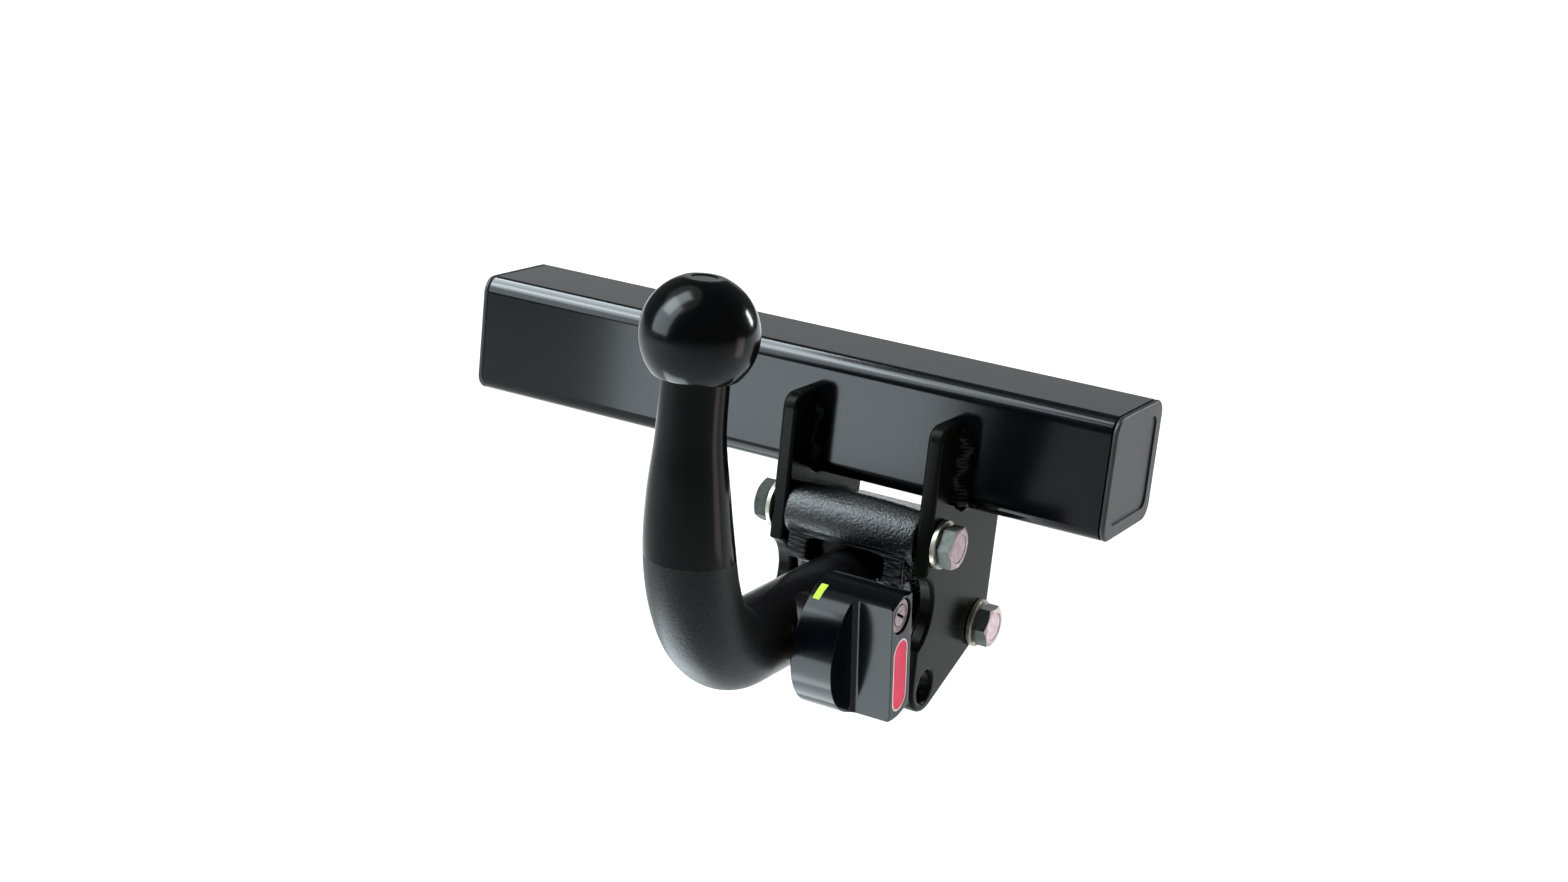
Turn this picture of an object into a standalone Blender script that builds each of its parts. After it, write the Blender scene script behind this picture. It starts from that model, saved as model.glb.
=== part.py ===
"""Detachable swan-neck tow ball with its receiver, handwheel lock and crossbeam section.

Metres, +Z up, +Y towards the vehicle, +X to the vehicle's right-hand side seen from the ball.
The origin is the point of the crossbeam's rear face that lies in the middle plane of the neck.
"""
import math

import bmesh
import bpy
from mathutils import Matrix, Vector

# ---------------------------------------------------------------- driving dimensions
CLEARANCE = 0.0003           # gap between pieces that touch

BEAM_SIZE = 0.060            # square tube, outside
BEAM_WALL = 0.004
BEAM_CORNER = 0.008
BEAM_LEFT = -0.231
BEAM_RIGHT = 0.115
END_CAP = 0.003              # flange of the tube's end plugs
END_PLUG = 0.014             # depth of the plugs in the tube

PLATE_INNER = 0.0345         # inner faces of the side plates, from the middle plane
PLATE_THICK = 0.008
PLATE_FRONT = -0.0825
PLATE_REAR = -0.0007
HORN_TOP = 0.0132
PLATE_TIP = -0.1403          # where the plate's two lower edges would meet
PLATE_HEEL = -0.1053
HORN_CORNER = 0.0075
HEEL_CORNER = 0.008
TIP_CORNER = 0.0165
RECESS_CENTRE = (-0.0901, -0.078)
RECESS_R = 0.020
EYE_CENTRE = (-0.068, -0.1185)
EYE_R = 0.008

WELD_BEAD = 0.0026
WELD_RISE = (-0.021, 0.0115)     # beads in front of the beam, along Z
WELD_RUN = (-0.050, -0.010)      # beads under the beam, along Y

UPPER_BOLT = (-0.0718, -0.0448)
LOWER_BOLT = (-0.0140, -0.0998)
BOLT_R = 0.006               # M12
BOLT_HEAD = 0.019            # across flats
BOLT_HEAD_H = 0.0075
BOLT_LENGTH = 0.030
BOLT_CHAMFER = 0.95          # diameter of the head's flat end face, over the width across flats
BOLT_HOLE_R = BOLT_R + 0.0005
BOLT_HOLE_START = 0.0115     # end of the bolt holes in the housing, from the middle plane
WASHER_R = 0.012
WASHER_T = 0.0025

HOUSING_FRONT = -0.0845
HOUSING_HALF = 0.031         # half width between the bosses
BOSS_HALF = 0.0342           # half width over the bosses
BOSS_R = 0.013
BOSS_CROWN = 0.0012          # extra radius in the middle of the upper boss
BARREL_R = 0.0245
BARREL_Y = (-0.082, -0.030)
# Side view of the casting: (y, z, corner radius).
HOUSING_OUTLINE = [
    (HOUSING_FRONT, -0.0440, 0), (HOUSING_FRONT, -0.0660, 0.0015), (-0.0740, -0.0660, 0.004),
    (-0.0620, -0.0975, 0.008), (-0.0260, -0.1010, 0.010), (-0.0140, -0.1080, 0.006),
    (-0.0040, -0.1000, 0.004), (-0.0040, -0.0500, 0.006), (-0.0600, -0.0370, 0.004),
    (-0.0720, -0.0360, 0),
]

BALL_Y, BALL_Z = -0.245, 0.076
BALL_R = 0.025
BALL_FLAT_R = 0.0087
BALL_RIM_DROP = 0.0171       # underside ledge, below the ball's centre

SHANK_Z = -0.0725
SHANK_R = 0.0165
SHANK_FRONT = -0.087
SHANK_TAIL = -0.015
KEY_HALF = 0.0198
KEY_Z = (-0.0657, -0.0543)
KEY_Y = (-0.075, -0.068)
KEY_BEVEL = 0.0028
KEY_SLOT_CORNER = 0.0032
KEY_SLOT_DEPTH = 0.0007      # play between the key and the end of its slot
KEY_SLOT_PLAY = 0.0005       # above and below the key
TAIL_CHAMFER = (0.003, 0.0022)

SEAL_Y = -0.062
SEAL_R = 0.00105             # the O-ring's section
SEAL_PITCH_R = 0.0155
SEAL_GROOVE = (0.0014, 0.0141)   # half width, radius of its floor
SLEEVE_Y = (-0.054, -0.022)
SLEEVE_R = 0.0206
REAR_CAP_Y = (-0.0120, -0.0050)
REAR_CAP_WALL = 0.003
TAIL_PLUG_R = 0.0095
TAIL_PLUG_Y = (-0.0190, -0.0153)
LOCK_BALL_R = 0.006
LOCK_BALL_Y = -0.040
LOCK_BALL_IN = 0.0102        # radius of the balls' centres when they are drawn in
LOCK_BALL_TRAVEL = 0.0023

WHEEL_Y, WHEEL_Z = -0.1461, -0.0755
WHEEL_R = 0.0303
WHEEL_TILT = math.radians(10.6)   # the grip bar leans towards the ball
WHEEL_TURN = math.radians(75.0)
DRUM_BACK = 0.0224
DRUM_FRONT = 0.0429
GRIP_END = 0.0621
GRIP_THICK = 0.0195
KEY_LOCK_OFFSET = 0.021      # key lock's axis, from the wheel's axis

BUSH_R = 0.0090
BUSH_FLANGE_R = 0.0158
BUSH_SCREW_PITCH = 0.0120
BUSH_SCREW_ANGLES = (math.radians(37.5), math.radians(217.5))
GEAR_MODULE = 0.001
GEAR_TEETH = 12
GEAR_PITCH_R = GEAR_MODULE * GEAR_TEETH / 2
PRESSURE_ANGLE = math.radians(20)
RACK_ADDENDUM = 0.8          # in modules, shortened so that the tips clear the pinion's roots
RACK_DEDENDUM = 1.25
ROD_END = -0.0205
ROD_FRONT = -0.1525
RACK_END = -0.1295
ROD_R = 0.007
ROD_WAIST = 0.0039
ROD_LAND = 0.0062
ROD_TRAVEL = GEAR_PITCH_R * WHEEL_TURN
SPINDLE_SQUARE = 0.0036      # half width

CAVITY_R = 0.0263
CAVITY_END = 0.0406
CORE_R = 0.0258
CORE_Z = (0.0239, 0.0264)
STOP_PIN_R = 0.0016
STOP_PIN_PITCH = 0.0120
STOP_PIN_Z = (0.0214, 0.0262)
STOP_SLOT_HALF = 0.0020
STOP_SPARE = 11.0            # degrees of free slot before and after each stop pin
CORE_SCREW_PITCH = 0.0200
CORE_SCREW_ANGLES = (120.0, 240.0)
SPRING_R = 0.0083
SPRING_WIRE = 0.0007
SPRING_TURNS = 3.2

LABEL_X = (-0.0270, 0.0090)
LABEL_HALF = 0.0069
LABEL_T = 0.0006
LABEL_DEPTH = 0.0010
LOCK_R = 0.0080
LOCK_PLUG_R = 0.0050
LOCK_START = 0.0382
LOCK_FACE = GRIP_END - 0.0010
KEY_SLIT = (0.0007, 0.0040, 0.0100)   # half width, half height and depth
CAM_NOSE = 0.0103
CAM_Z = (0.0343, 0.0365)
MARK_ANGLE = 19.0            # middle of the green mark, from the grip bar's direction
MARK_SPAN = 18.0
MARK_Z = (0.0246, 0.0279)
MARK_INNER = 0.0293

# Rows of the neck between ball and shank: (y, z, radius) of the round section's centre.
NECK_STATIONS = [
    (-0.2450, 0.0589, 0.0144),
    (-0.2443, 0.0337, 0.0148),
    (-0.2418, 0.0086, 0.0175),
    (-0.2371, -0.0162, 0.0194),
    (-0.2285, -0.0400, 0.0198),
    (-0.2142, -0.0608, 0.0195),
    (-0.1929, -0.0738, 0.0191),
    (-0.1650, -0.0757, 0.0190),
    (-0.1000, -0.0752, 0.0188),
    (SHANK_FRONT, SHANK_Z, SHANK_R),
]


# ---------------------------------------------------------------- scene and helpers
for old in list(bpy.data.objects):
    bpy.data.objects.remove(old)

PARTS = bpy.data.collections.new("detachable_tow_ball")
CUTTERS = bpy.data.collections.new("cutters")
for group in (PARTS, CUTTERS):
    bpy.context.scene.collection.children.link(group)


def material(name, colour, roughness, metallic):
    found = bpy.data.materials.new(name)
    found.use_nodes = True
    shader = found.node_tree.nodes["Principled BSDF"]
    shader.inputs["Base Color"].default_value = (*colour, 1.0)
    shader.inputs["Roughness"].default_value = roughness
    shader.inputs["Metallic"].default_value = metallic
    return found


def frame_object(name, location, x_axis, y_axis, z_axis):
    """An empty whose local axes point along the three given directions."""
    empty = bpy.data.objects.new(name, None)
    turn = Matrix((x_axis, y_axis, z_axis)).transposed()
    empty.matrix_world = Matrix.Translation(location) @ turn.to_4x4()
    PARTS.objects.link(empty)
    return empty


def add(name, data, surface=None, location=(0, 0, 0), rotation=(0, 0, 0), parent=None):
    """A named piece, or a hidden cutter when it has no surface material."""
    obj = bpy.data.objects.new(name, data)
    obj.location = location
    obj.rotation_euler = rotation
    obj.parent = parent
    if surface is None:
        CUTTERS.objects.link(obj)
        obj.hide_render = True
        obj.display_type = "WIRE"
    else:
        PARTS.objects.link(obj)
        if not data.materials:
            data.materials.append(surface)
    return obj


def mesh_from(bm, name):
    mesh = bpy.data.meshes.new(name)
    bm.to_mesh(mesh)
    bm.free()
    return mesh


def block(name, low, high, surface=None, parent=None, bevel=0.0):
    """A box between two corners, with all edges rounded when bevel is given."""
    bm = bmesh.new()
    size = [b - a for a, b in zip(low, high)]
    middle = [(a + b) / 2 for a, b in zip(low, high)]
    bmesh.ops.create_cube(bm, size=1.0, matrix=Matrix.Diagonal((*size, 1.0)))
    obj = add(name, mesh_from(bm, name), surface, middle, parent=parent)
    if bevel:
        rounding = obj.modifiers.new("rounding", "BEVEL")
        rounding.width = bevel
        rounding.segments = 3
    return obj


AXIS_TURN = {
    "X": (0, math.radians(90), 0),
    "Y": (math.radians(-90), 0, 0),
    "Z": (0, 0, 0),
}


def turned(name, profile, surface=None, axis="Z", centre=(0, 0, 0), parent=None, steps=28):
    """A lathe piece. The profile lists (radius, place along the axis), as a closed outline;
    points on the axis make it solid there."""
    doubled_area = sum(a[0] * b[1] - b[0] * a[1] for a, b in zip(profile, profile[1:] + profile[:1]))
    points = list(profile) if doubled_area < 0 else list(reversed(profile))
    on_axis = [i for i, point in enumerate(points) if point[0] == 0]
    if on_axis:
        gap = next(i for i in on_axis if points[(i + 1) % len(points)][0] == 0)
        points = points[gap + 1:] + points[:gap + 1]
    edges = [(i, i + 1) for i in range(len(points) - 1)]
    if not on_axis:
        edges.append((len(points) - 1, 0))
    mesh = bpy.data.meshes.new(name)
    mesh.from_pydata([(radius, 0.0, along) for radius, along in points], edges, [])
    obj = add(name, mesh, surface, centre, AXIS_TURN[axis], parent)
    lathe = obj.modifiers.new("lathe", "SCREW")
    lathe.axis = "Z"
    lathe.steps = steps
    lathe.render_steps = steps
    lathe.use_merge_vertices = True
    lathe.merge_threshold = 0.000001
    lathe.use_smooth_shade = False
    return obj


def rod(name, radius, start, end, surface=None, axis="Z", centre=(0, 0, 0), parent=None, steps=28):
    profile = [(0, start), (radius, start), (radius, end), (0, end)]
    return turned(name, profile, surface, axis, centre, parent, steps)


def arc(centre, radius, start, end, count):
    """Points on an arc between two angles in degrees, both ends included."""
    angles = [math.radians(start + (end - start) * i / (count - 1)) for i in range(count)]
    return [(centre[0] + radius * math.cos(a), centre[1] + radius * math.sin(a)) for a in angles]


def circle(centre, radius, count=24):
    return arc(centre, radius, 0, 360, count + 1)[:-1]


def rounded(corners, count=5):
    """A closed outline through (x, y, radius) corners, each rounded by its own radius."""
    points = []
    for i, (x, y, radius) in enumerate(corners):
        here = Vector((x, y))
        before = (Vector(corners[i - 1][:2]) - here).normalized()
        after = (Vector(corners[(i + 1) % len(corners)][:2]) - here).normalized()
        if radius == 0:
            points.append((x, y))
            continue
        half = before.angle(after) / 2
        centre = here + (before + after).normalized() * radius / math.sin(half)
        start = here + before * radius / math.tan(half) - centre
        end = here + after * radius / math.tan(half) - centre
        first = math.degrees(math.atan2(start.y, start.x))
        sweep = (math.degrees(math.atan2(end.y, end.x)) - first + 180) % 360 - 180
        points += arc(centre, radius, first, first + sweep, count)
    return points


def box_outline(width, height, radius, centre=(0, 0), count=5):
    x, y = width / 2, height / 2
    signs = ((1, 1), (-1, 1), (-1, -1), (1, -1))
    corners = [(centre[0] + sx * x, centre[1] + sy * y, radius) for sx, sy in signs]
    return rounded(corners, count)


def flat_curve(name, loops, half_thick):
    """A filled flat curve; loops after the first are holes."""
    curve = bpy.data.curves.new(name, "CURVE")
    curve.dimensions = "2D"
    curve.fill_mode = "BOTH"
    curve.extrude = half_thick
    for loop in loops:
        spline = curve.splines.new("POLY")
        spline.points.add(len(loop) - 1)
        for point, (x, y) in zip(spline.points, loop):
            point.co = (x, y, 0.0, 1.0)
        spline.use_cyclic_u = True
    return curve


SIDE_VIEW = (math.radians(90), 0, math.radians(90))   # outline's x, y become world Y, Z


def profile_plate(name, loops, x_from, x_to, surface):
    """A plate or tube across X whose outline is given in world Y and Z."""
    curve = flat_curve(name, loops, (x_to - x_from) / 2)
    return solid_of(add(name, curve, surface, ((x_from + x_to) / 2, 0, 0), SIDE_VIEW))


def solid_of(obj):
    """The evaluated shape of a curve or modified object as one welded mesh object."""
    bpy.context.view_layer.update()
    mesh = bpy.data.meshes.new_from_object(obj.evaluated_get(bpy.context.evaluated_depsgraph_get()))
    bm = bmesh.new()
    bm.from_mesh(mesh)
    bmesh.ops.remove_doubles(bm, verts=bm.verts, dist=0.000005)
    bmesh.ops.recalc_face_normals(bm, faces=bm.faces)
    bm.to_mesh(mesh)
    bm.free()
    solid = bpy.data.objects.new(obj.name, mesh)
    solid.matrix_world = obj.matrix_world
    for collection in obj.users_collection:
        collection.objects.link(solid)
    solid.hide_render = obj.hide_render
    solid.display_type = obj.display_type
    name = obj.name
    bpy.data.objects.remove(obj)
    solid.name = name
    return solid


def prism(name, outline, z_from, z_to, parent=None, surface=None):
    """An outline in local X and Y, extruded along local Z."""
    obj = add(name, flat_curve(name, [outline], (z_to - z_from) / 2), surface, (0, 0, (z_from + z_to) / 2))
    solid = solid_of(obj)
    solid.parent = parent
    return solid


def boolean(obj, operation, *others):
    for other in others:
        step = obj.modifiers.new(other.name, "BOOLEAN")
        step.operation = operation
        step.solver = "EXACT"
        step.object = other


def cut(obj, *others):
    boolean(obj, "DIFFERENCE", *others)


def join(obj, *others):
    boolean(obj, "UNION", *others)


def tube_along(name, points, radius, surface, parent=None, resolution=2):
    curve = bpy.data.curves.new(name, "CURVE")
    curve.dimensions = "3D"
    curve.bevel_depth = radius
    curve.bevel_resolution = resolution
    curve.use_fill_caps = True
    spline = curve.splines.new("POLY")
    spline.points.add(len(points) - 1)
    for point, place in zip(spline.points, points):
        point.co = (*place, 1.0)
    return add(name, curve, surface, parent=parent)


# ---------------------------------------------------------------- materials
BLACK_PAINT = material("beam_paint", (0.012, 0.013, 0.016), 0.28, 0.0)
PLATE_PAINT = material("plate_paint", (0.035, 0.036, 0.032), 0.38, 0.0)
NECK_PAINT = material("neck_paint", (0.013, 0.014, 0.015), 0.32, 0.0)
CAST_PAINT = material("cast_paint", (0.022, 0.024, 0.027), 0.55, 0.0)
ZINC = material("zinc", (0.62, 0.60, 0.58), 0.30, 1.0)
STEEL = material("hardened_steel", (0.42, 0.42, 0.43), 0.28, 1.0)
BRONZE = material("bronze", (0.55, 0.36, 0.16), 0.35, 1.0)
WHEEL_PLASTIC = material("wheel_plastic", (0.020, 0.024, 0.030), 0.30, 0.0)
PLAIN_PLASTIC = material("plain_plastic", (0.015, 0.015, 0.016), 0.50, 0.0)
RUBBER = material("rubber", (0.010, 0.010, 0.010), 0.70, 0.0)
GREEN = material("green_mark", (0.55, 0.80, 0.08), 0.45, 0.0)
RED = material("red_label", (0.62, 0.03, 0.09), 0.35, 0.0)
LOCK_METAL = material("lock_metal", (0.66, 0.60, 0.60), 0.30, 1.0)


# ---------------------------------------------------------------- crossbeam, plates and welds
def make_beam():
    middle = (-BEAM_SIZE / 2, 0)
    outer = box_outline(BEAM_SIZE, BEAM_SIZE, BEAM_CORNER, middle, 6)
    inner_size = BEAM_SIZE - 2 * BEAM_WALL
    inner = box_outline(inner_size, inner_size, BEAM_CORNER - BEAM_WALL, middle, 4)
    profile_plate("crossbeam", [outer, inner], BEAM_LEFT, BEAM_RIGHT, BLACK_PAINT)
    plug_size = inner_size - 2 * CLEARANCE
    for name, face, outward in (("end_cap_left", BEAM_LEFT, -1), ("end_cap_right", BEAM_RIGHT, 1)):
        low, high = sorted((face + outward * CLEARANCE, face + outward * END_CAP))
        flange = profile_plate(name, [outer], low, high, PLAIN_PLASTIC)
        plug_outline = box_outline(plug_size, plug_size, BEAM_CORNER - BEAM_WALL, middle, 4)
        low, high = sorted((face - outward * END_PLUG, face + outward * END_CAP / 2))
        join(flange, profile_plate(name + "_plug", [plug_outline], low, high, None))


def make_plates():
    outline = rounded([
        (PLATE_FRONT, HORN_TOP, HORN_CORNER),
        (-BEAM_SIZE - CLEARANCE, HORN_TOP, 0),
        (-BEAM_SIZE - CLEARANCE, -BEAM_SIZE / 2 - CLEARANCE, HORN_CORNER),
        (PLATE_REAR, -BEAM_SIZE / 2 - CLEARANCE, 0),
        (PLATE_REAR, PLATE_HEEL, HEEL_CORNER),
        (PLATE_FRONT, PLATE_TIP, TIP_CORNER),
    ])
    reach = RECESS_CENTRE[0] - PLATE_FRONT
    half_angle = math.degrees(math.acos(-reach / RECESS_R))
    outline += arc(RECESS_CENTRE, RECESS_R, -half_angle, half_angle, 13)
    holes = [circle(UPPER_BOLT, BOLT_HOLE_R), circle(LOWER_BOLT, BOLT_HOLE_R), circle(EYE_CENTRE, EYE_R)]
    outer = PLATE_INNER + PLATE_THICK
    profile_plate("side_plate_right", [outline, *holes], PLATE_INNER, outer, PLATE_PAINT)
    profile_plate("side_plate_left", [outline, *holes], -outer, -PLATE_INNER, PLATE_PAINT)


def make_welds():
    offset = WELD_BEAD + CLEARANCE
    front_y = -BEAM_SIZE - offset
    under_z = -BEAM_SIZE / 2 - offset
    outer_x = PLATE_INNER + PLATE_THICK + offset
    inner_x = PLATE_INNER - offset
    spans = 6
    rise = [WELD_RISE[0] + (WELD_RISE[1] - WELD_RISE[0]) * i / spans for i in range(spans + 1)]
    run = [WELD_RUN[0] + (WELD_RUN[1] - WELD_RUN[0]) * i / spans for i in range(spans + 1)]
    for side, sign in (("left", -1), ("right", 1)):
        for place, x in (("outer", outer_x), ("inner", inner_x)):
            points = [(sign * x, front_y, z) for z in rise]
            tube_along(f"weld_{side}_{place}", points, WELD_BEAD, BLACK_PAINT)
        points = [(sign * outer_x, y, under_z) for y in run]
        tube_along(f"weld_{side}_under", points, WELD_BEAD, BLACK_PAINT)


# ---------------------------------------------------------------- receiver
def make_housing():
    outline = rounded(HOUSING_OUTLINE, 4)
    body = profile_plate("receiver_housing", [outline], -HOUSING_HALF, HOUSING_HALF, CAST_PAINT)
    crown = [(BOSS_R + BOSS_CROWN * (1 - (i / 4) ** 2), BOSS_HALF * i / 4) for i in range(-4, 5)]
    upper = turned("upper_boss", [(0, -BOSS_HALF), *crown, (0, BOSS_HALF)], None, "X", (0, *UPPER_BOLT))
    lower = rod("lower_boss", BOSS_R, -BOSS_HALF, BOSS_HALF, None, "X", (0, *LOWER_BOLT))
    barrel = rod("barrel", BARREL_R, *BARREL_Y, None, "Y", (0, 0, SHANK_Z), steps=32)
    join(body, upper, lower, barrel)

    bore_r = SHANK_R + CLEARANCE
    sleeve_r = SLEEVE_R + CLEARANCE
    shoulder = SLEEVE_Y[0] - CLEARANCE
    ahead, behind = -0.120, 0.004
    steps_in = [(0, ahead), (bore_r, ahead), (bore_r, shoulder), (sleeve_r, shoulder), (sleeve_r, behind),
                (0, behind)]
    bore = turned("receiver_bore", steps_in, None, "Y", (0, 0, SHANK_Z), steps=32)
    slot_width = 2 * (KEY_HALF + KEY_SLOT_DEPTH)
    slot_height = KEY_Z[1] - KEY_Z[0] + 2 * KEY_SLOT_PLAY
    slot_outline = box_outline(slot_width, slot_height, KEY_SLOT_CORNER, (0, (KEY_Z[0] + KEY_Z[1]) / 2))
    half_run = 0.012
    slot = add("key_slot", flat_curve("key_slot", [slot_outline], half_run), None,
               (0, KEY_Y[1] + KEY_SLOT_DEPTH - half_run, 0), (math.radians(90), 0, 0))
    cut(body, solid_of(slot))
    beyond = 0.040
    for y, z in (UPPER_BOLT, LOWER_BOLT):
        for sign in (-1, 1):
            start, end = sorted((sign * BOLT_HOLE_START, sign * beyond))
            cut(body, rod("bolt_hole", BOLT_R + CLEARANCE, start, end, None, "X", (0, y, z), steps=24))
    cut(body, bore)


def make_sleeve():
    """Hardened ring in the bore, with the round groove that the locking balls press into."""
    bore_r = SHANK_R + CLEARANCE
    ball_out = LOCK_BALL_IN + LOCK_BALL_TRAVEL
    groove_r = LOCK_BALL_R + CLEARANCE
    edge = math.degrees(math.acos((bore_r - ball_out) / groove_r))
    groove = [(ball_out + dy, LOCK_BALL_Y + dz) for dy, dz in arc((0, 0), groove_r, edge, -edge, 7)]
    start, end = SLEEVE_Y
    profile = [(SLEEVE_R, start), (SLEEVE_R, end), (bore_r, end), *groove, (bore_r, start)]
    turned("locking_sleeve", profile, STEEL, "Y", (0, 0, SHANK_Z), steps=32)
    front, back = REAR_CAP_Y
    rim_r = SLEEVE_R - REAR_CAP_WALL
    floor = front + REAR_CAP_WALL
    cap = [(0, front), (SLEEVE_R, front), (SLEEVE_R, back), (rim_r, back), (rim_r, floor), (0, floor)]
    turned("rear_cap", cap, PLAIN_PLASTIC, "Y", (0, 0, SHANK_Z), steps=28)


def bolt_mesh():
    """Hexagon head with its chamfer and a plain shank, as one stack of 24-point rings."""
    count = 24
    chamfer_r = BOLT_HEAD / 2 * BOLT_CHAMFER
    slope = math.tan(math.radians(30))
    angles = [2 * math.pi * i / count for i in range(count)]
    # Distance to the hexagon's side at each angle; a corner stands at angle 0.
    hexagon = [BOLT_HEAD / 2 / math.cos((angle % (math.pi / 3)) - math.pi / 6) for angle in angles]
    rings = [
        [(BOLT_R - 0.001, -BOLT_LENGTH)] * count,
        [(BOLT_R, -BOLT_LENGTH + 0.001)] * count,
        [(BOLT_R, 0.0)] * count,
        [(radius, 0.0) for radius in hexagon],
        [(radius, BOLT_HEAD_H - (radius - chamfer_r) * slope) for radius in hexagon],
        [(chamfer_r, BOLT_HEAD_H)] * count,
    ]
    bm = bmesh.new()
    rows = [[bm.verts.new((radius * math.cos(angle), radius * math.sin(angle), z))
             for (radius, z), angle in zip(ring, angles)] for ring in rings]
    for lower, upper in zip(rows, rows[1:]):
        for k in range(count):
            n = (k + 1) % count
            bm.faces.new((lower[k], lower[n], upper[n], upper[k]))
    bm.faces.new(list(reversed(rows[0])))
    bm.faces.new(rows[-1])
    return mesh_from(bm, "hex_bolt")


def make_bolts():
    """M12 hexagon bolts, two from each side, with plain washers."""
    shape = bolt_mesh()
    under_head = PLATE_INNER + PLATE_THICK + WASHER_T + 2 * CLEARANCE
    washer_in = PLATE_INNER + PLATE_THICK + CLEARANCE
    ring = [(BOLT_HOLE_R, 0), (WASHER_R, 0), (WASHER_R, WASHER_T), (BOLT_HOLE_R, WASHER_T)]
    for side, sign in (("left", -1), ("right", 1)):
        for level, (y, z) in (("upper", UPPER_BOLT), ("lower", LOWER_BOLT)):
            bolt = add(f"bolt_{level}_{side}", shape, ZINC, (sign * under_head, y, z))
            facing = Matrix.Rotation(math.radians(90) * sign, 4, "Y")
            # Right-hand heads stopped with a corner to the front, left-hand ones with a flat.
            stopped = Matrix.Rotation(math.radians(30 if sign > 0 else 0), 4, "X")
            bolt.rotation_euler = (stopped @ facing).to_euler()
            washer = turned(f"washer_{level}_{side}", ring, ZINC, "X", (sign * washer_in, y, z), steps=28)
            if sign < 0:
                washer.rotation_euler = (0, math.radians(-90), 0)


# ---------------------------------------------------------------- neck with ball
def catmull(stations, per_span):
    """Smooth rows through the stations, which are tuples of equal length."""
    rows = []
    count = len(stations)
    for i in range(count - 1):
        a = stations[max(i - 1, 0)]
        b, c = stations[i], stations[i + 1]
        d = stations[min(i + 2, count - 1)]
        for step in range(per_span):
            t = step / per_span
            rows.append(tuple(
                0.5 * (2 * q + (r - p) * t + (2 * p - 5 * q + 4 * r - s) * t * t
                       + (3 * q - p - 3 * r + s) * t ** 3)
                for p, q, r, s in zip(a, b, c, d)))
    rows.append(stations[-1])
    return rows


def neck_rows():
    """(y, z, radius, direction) of each ring, from the ball's flat top to the shank's tail."""
    down = Vector((0, -1))
    rows = []
    top = math.degrees(math.asin(BALL_FLAT_R / BALL_R))
    bottom = math.degrees(math.acos(-BALL_RIM_DROP / BALL_R))
    for i in range(12):
        angle = math.radians(top + (bottom - top) * i / 11)
        rows.append((BALL_Y, BALL_Z + BALL_R * math.cos(angle), BALL_R * math.sin(angle), down))
    path = catmull(NECK_STATIONS, 3)
    for i, (y, z, radius) in enumerate(path):
        ahead = Vector(path[min(i + 1, len(path) - 1)][:2]) - Vector(path[max(i - 1, 0)][:2])
        direction = down if i == 0 else ahead.normalized()
        rows.append((y, z, radius, direction))
    along = Vector((1, 0))
    rows[-1] = (*rows[-1][:3], along)
    half, floor_r = SEAL_GROOVE
    length, depth = TAIL_CHAMFER
    for y, radius in ((SEAL_Y - half, SHANK_R), (SEAL_Y - half, floor_r), (SEAL_Y + half, floor_r),
                      (SEAL_Y + half, SHANK_R), (SHANK_TAIL - length, SHANK_R),
                      (SHANK_TAIL, SHANK_R - depth)):
        rows.append((y, SHANK_Z, radius, along))
    return rows


def loft_rings(name, rows, segments, surface):
    """Round rings whose centres lie in the middle plane, skinned and capped."""
    bm = bmesh.new()
    rings = []
    for y, z, radius, direction in rows:
        across = Vector((0, direction.y, -direction.x))
        ring = []
        for k in range(segments):
            angle = 2 * math.pi * k / segments
            spoke = Vector((math.cos(angle), 0, 0)) + across * math.sin(angle)
            ring.append(bm.verts.new(Vector((0, y, z)) + spoke * radius))
        rings.append(ring)
    for lower, upper in zip(rings, rings[1:]):
        for k in range(segments):
            n = (k + 1) % segments
            bm.faces.new((lower[k], lower[n], upper[n], upper[k]))
    bm.faces.new(rings[0])
    bm.faces.new(rings[-1])
    bmesh.ops.recalc_face_normals(bm, faces=bm.faces)
    return add(name, mesh_from(bm, name), surface)


def make_neck():
    neck = loft_rings("ball_neck", neck_rows(), 26, NECK_PAINT)
    wheel_axis = (0, WHEEL_Y, WHEEL_Z)
    boss = rod("wheel_boss", BUSH_FLANGE_R + 0.001, 0.004, 0.0208, None, "X", wheel_axis, steps=32)
    low, high = (-KEY_HALF, KEY_Y[0], KEY_Z[0]), (KEY_HALF, KEY_Y[1], KEY_Z[1])
    key = block("neck_key", low, high, bevel=KEY_BEVEL)
    join(neck, boss, key)

    axial = turned("rod_bore", [(0, -0.1620), (ROD_R + CLEARANCE, -0.1620), (ROD_R + CLEARANCE, -0.0193),
                                (0.0098, -0.0193), (0.0098, -0.0100), (0, -0.0100)],
                   None, "Y", (0, 0, SHANK_Z), steps=24)
    cross = turned("spindle_bore", [(0, -0.0140), (0.0043, -0.0140), (0.0043, -0.0080), (0.0074, -0.0080),
                                    (0.0074, 0.0080), (BUSH_R + CLEARANCE, 0.0080),
                                    (BUSH_R + CLEARANCE, 0.0300), (0, 0.0300)],
                   None, "X", wheel_axis, steps=24)
    cut(neck, axial, cross)
    for i in range(3):
        angle = math.radians(120 * i)
        hole = rod(f"ball_hole_{i}", LOCK_BALL_R + CLEARANCE, 0.0045, 0.0200, None, "Z",
                   (0, LOCK_BALL_Y, SHANK_Z), steps=20)
        hole.rotation_euler = (0, angle, 0)
        cut(neck, hole)
    for angle in BUSH_SCREW_ANGLES:
        place = (BUSH_SCREW_PITCH * math.cos(angle), BUSH_SCREW_PITCH * math.sin(angle), 0)
        cut(neck, rod("bush_screw_hole", 0.0016, 0.0120, 0.0230, None, "Z", place, WHEEL_FRAME, 12))


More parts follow.
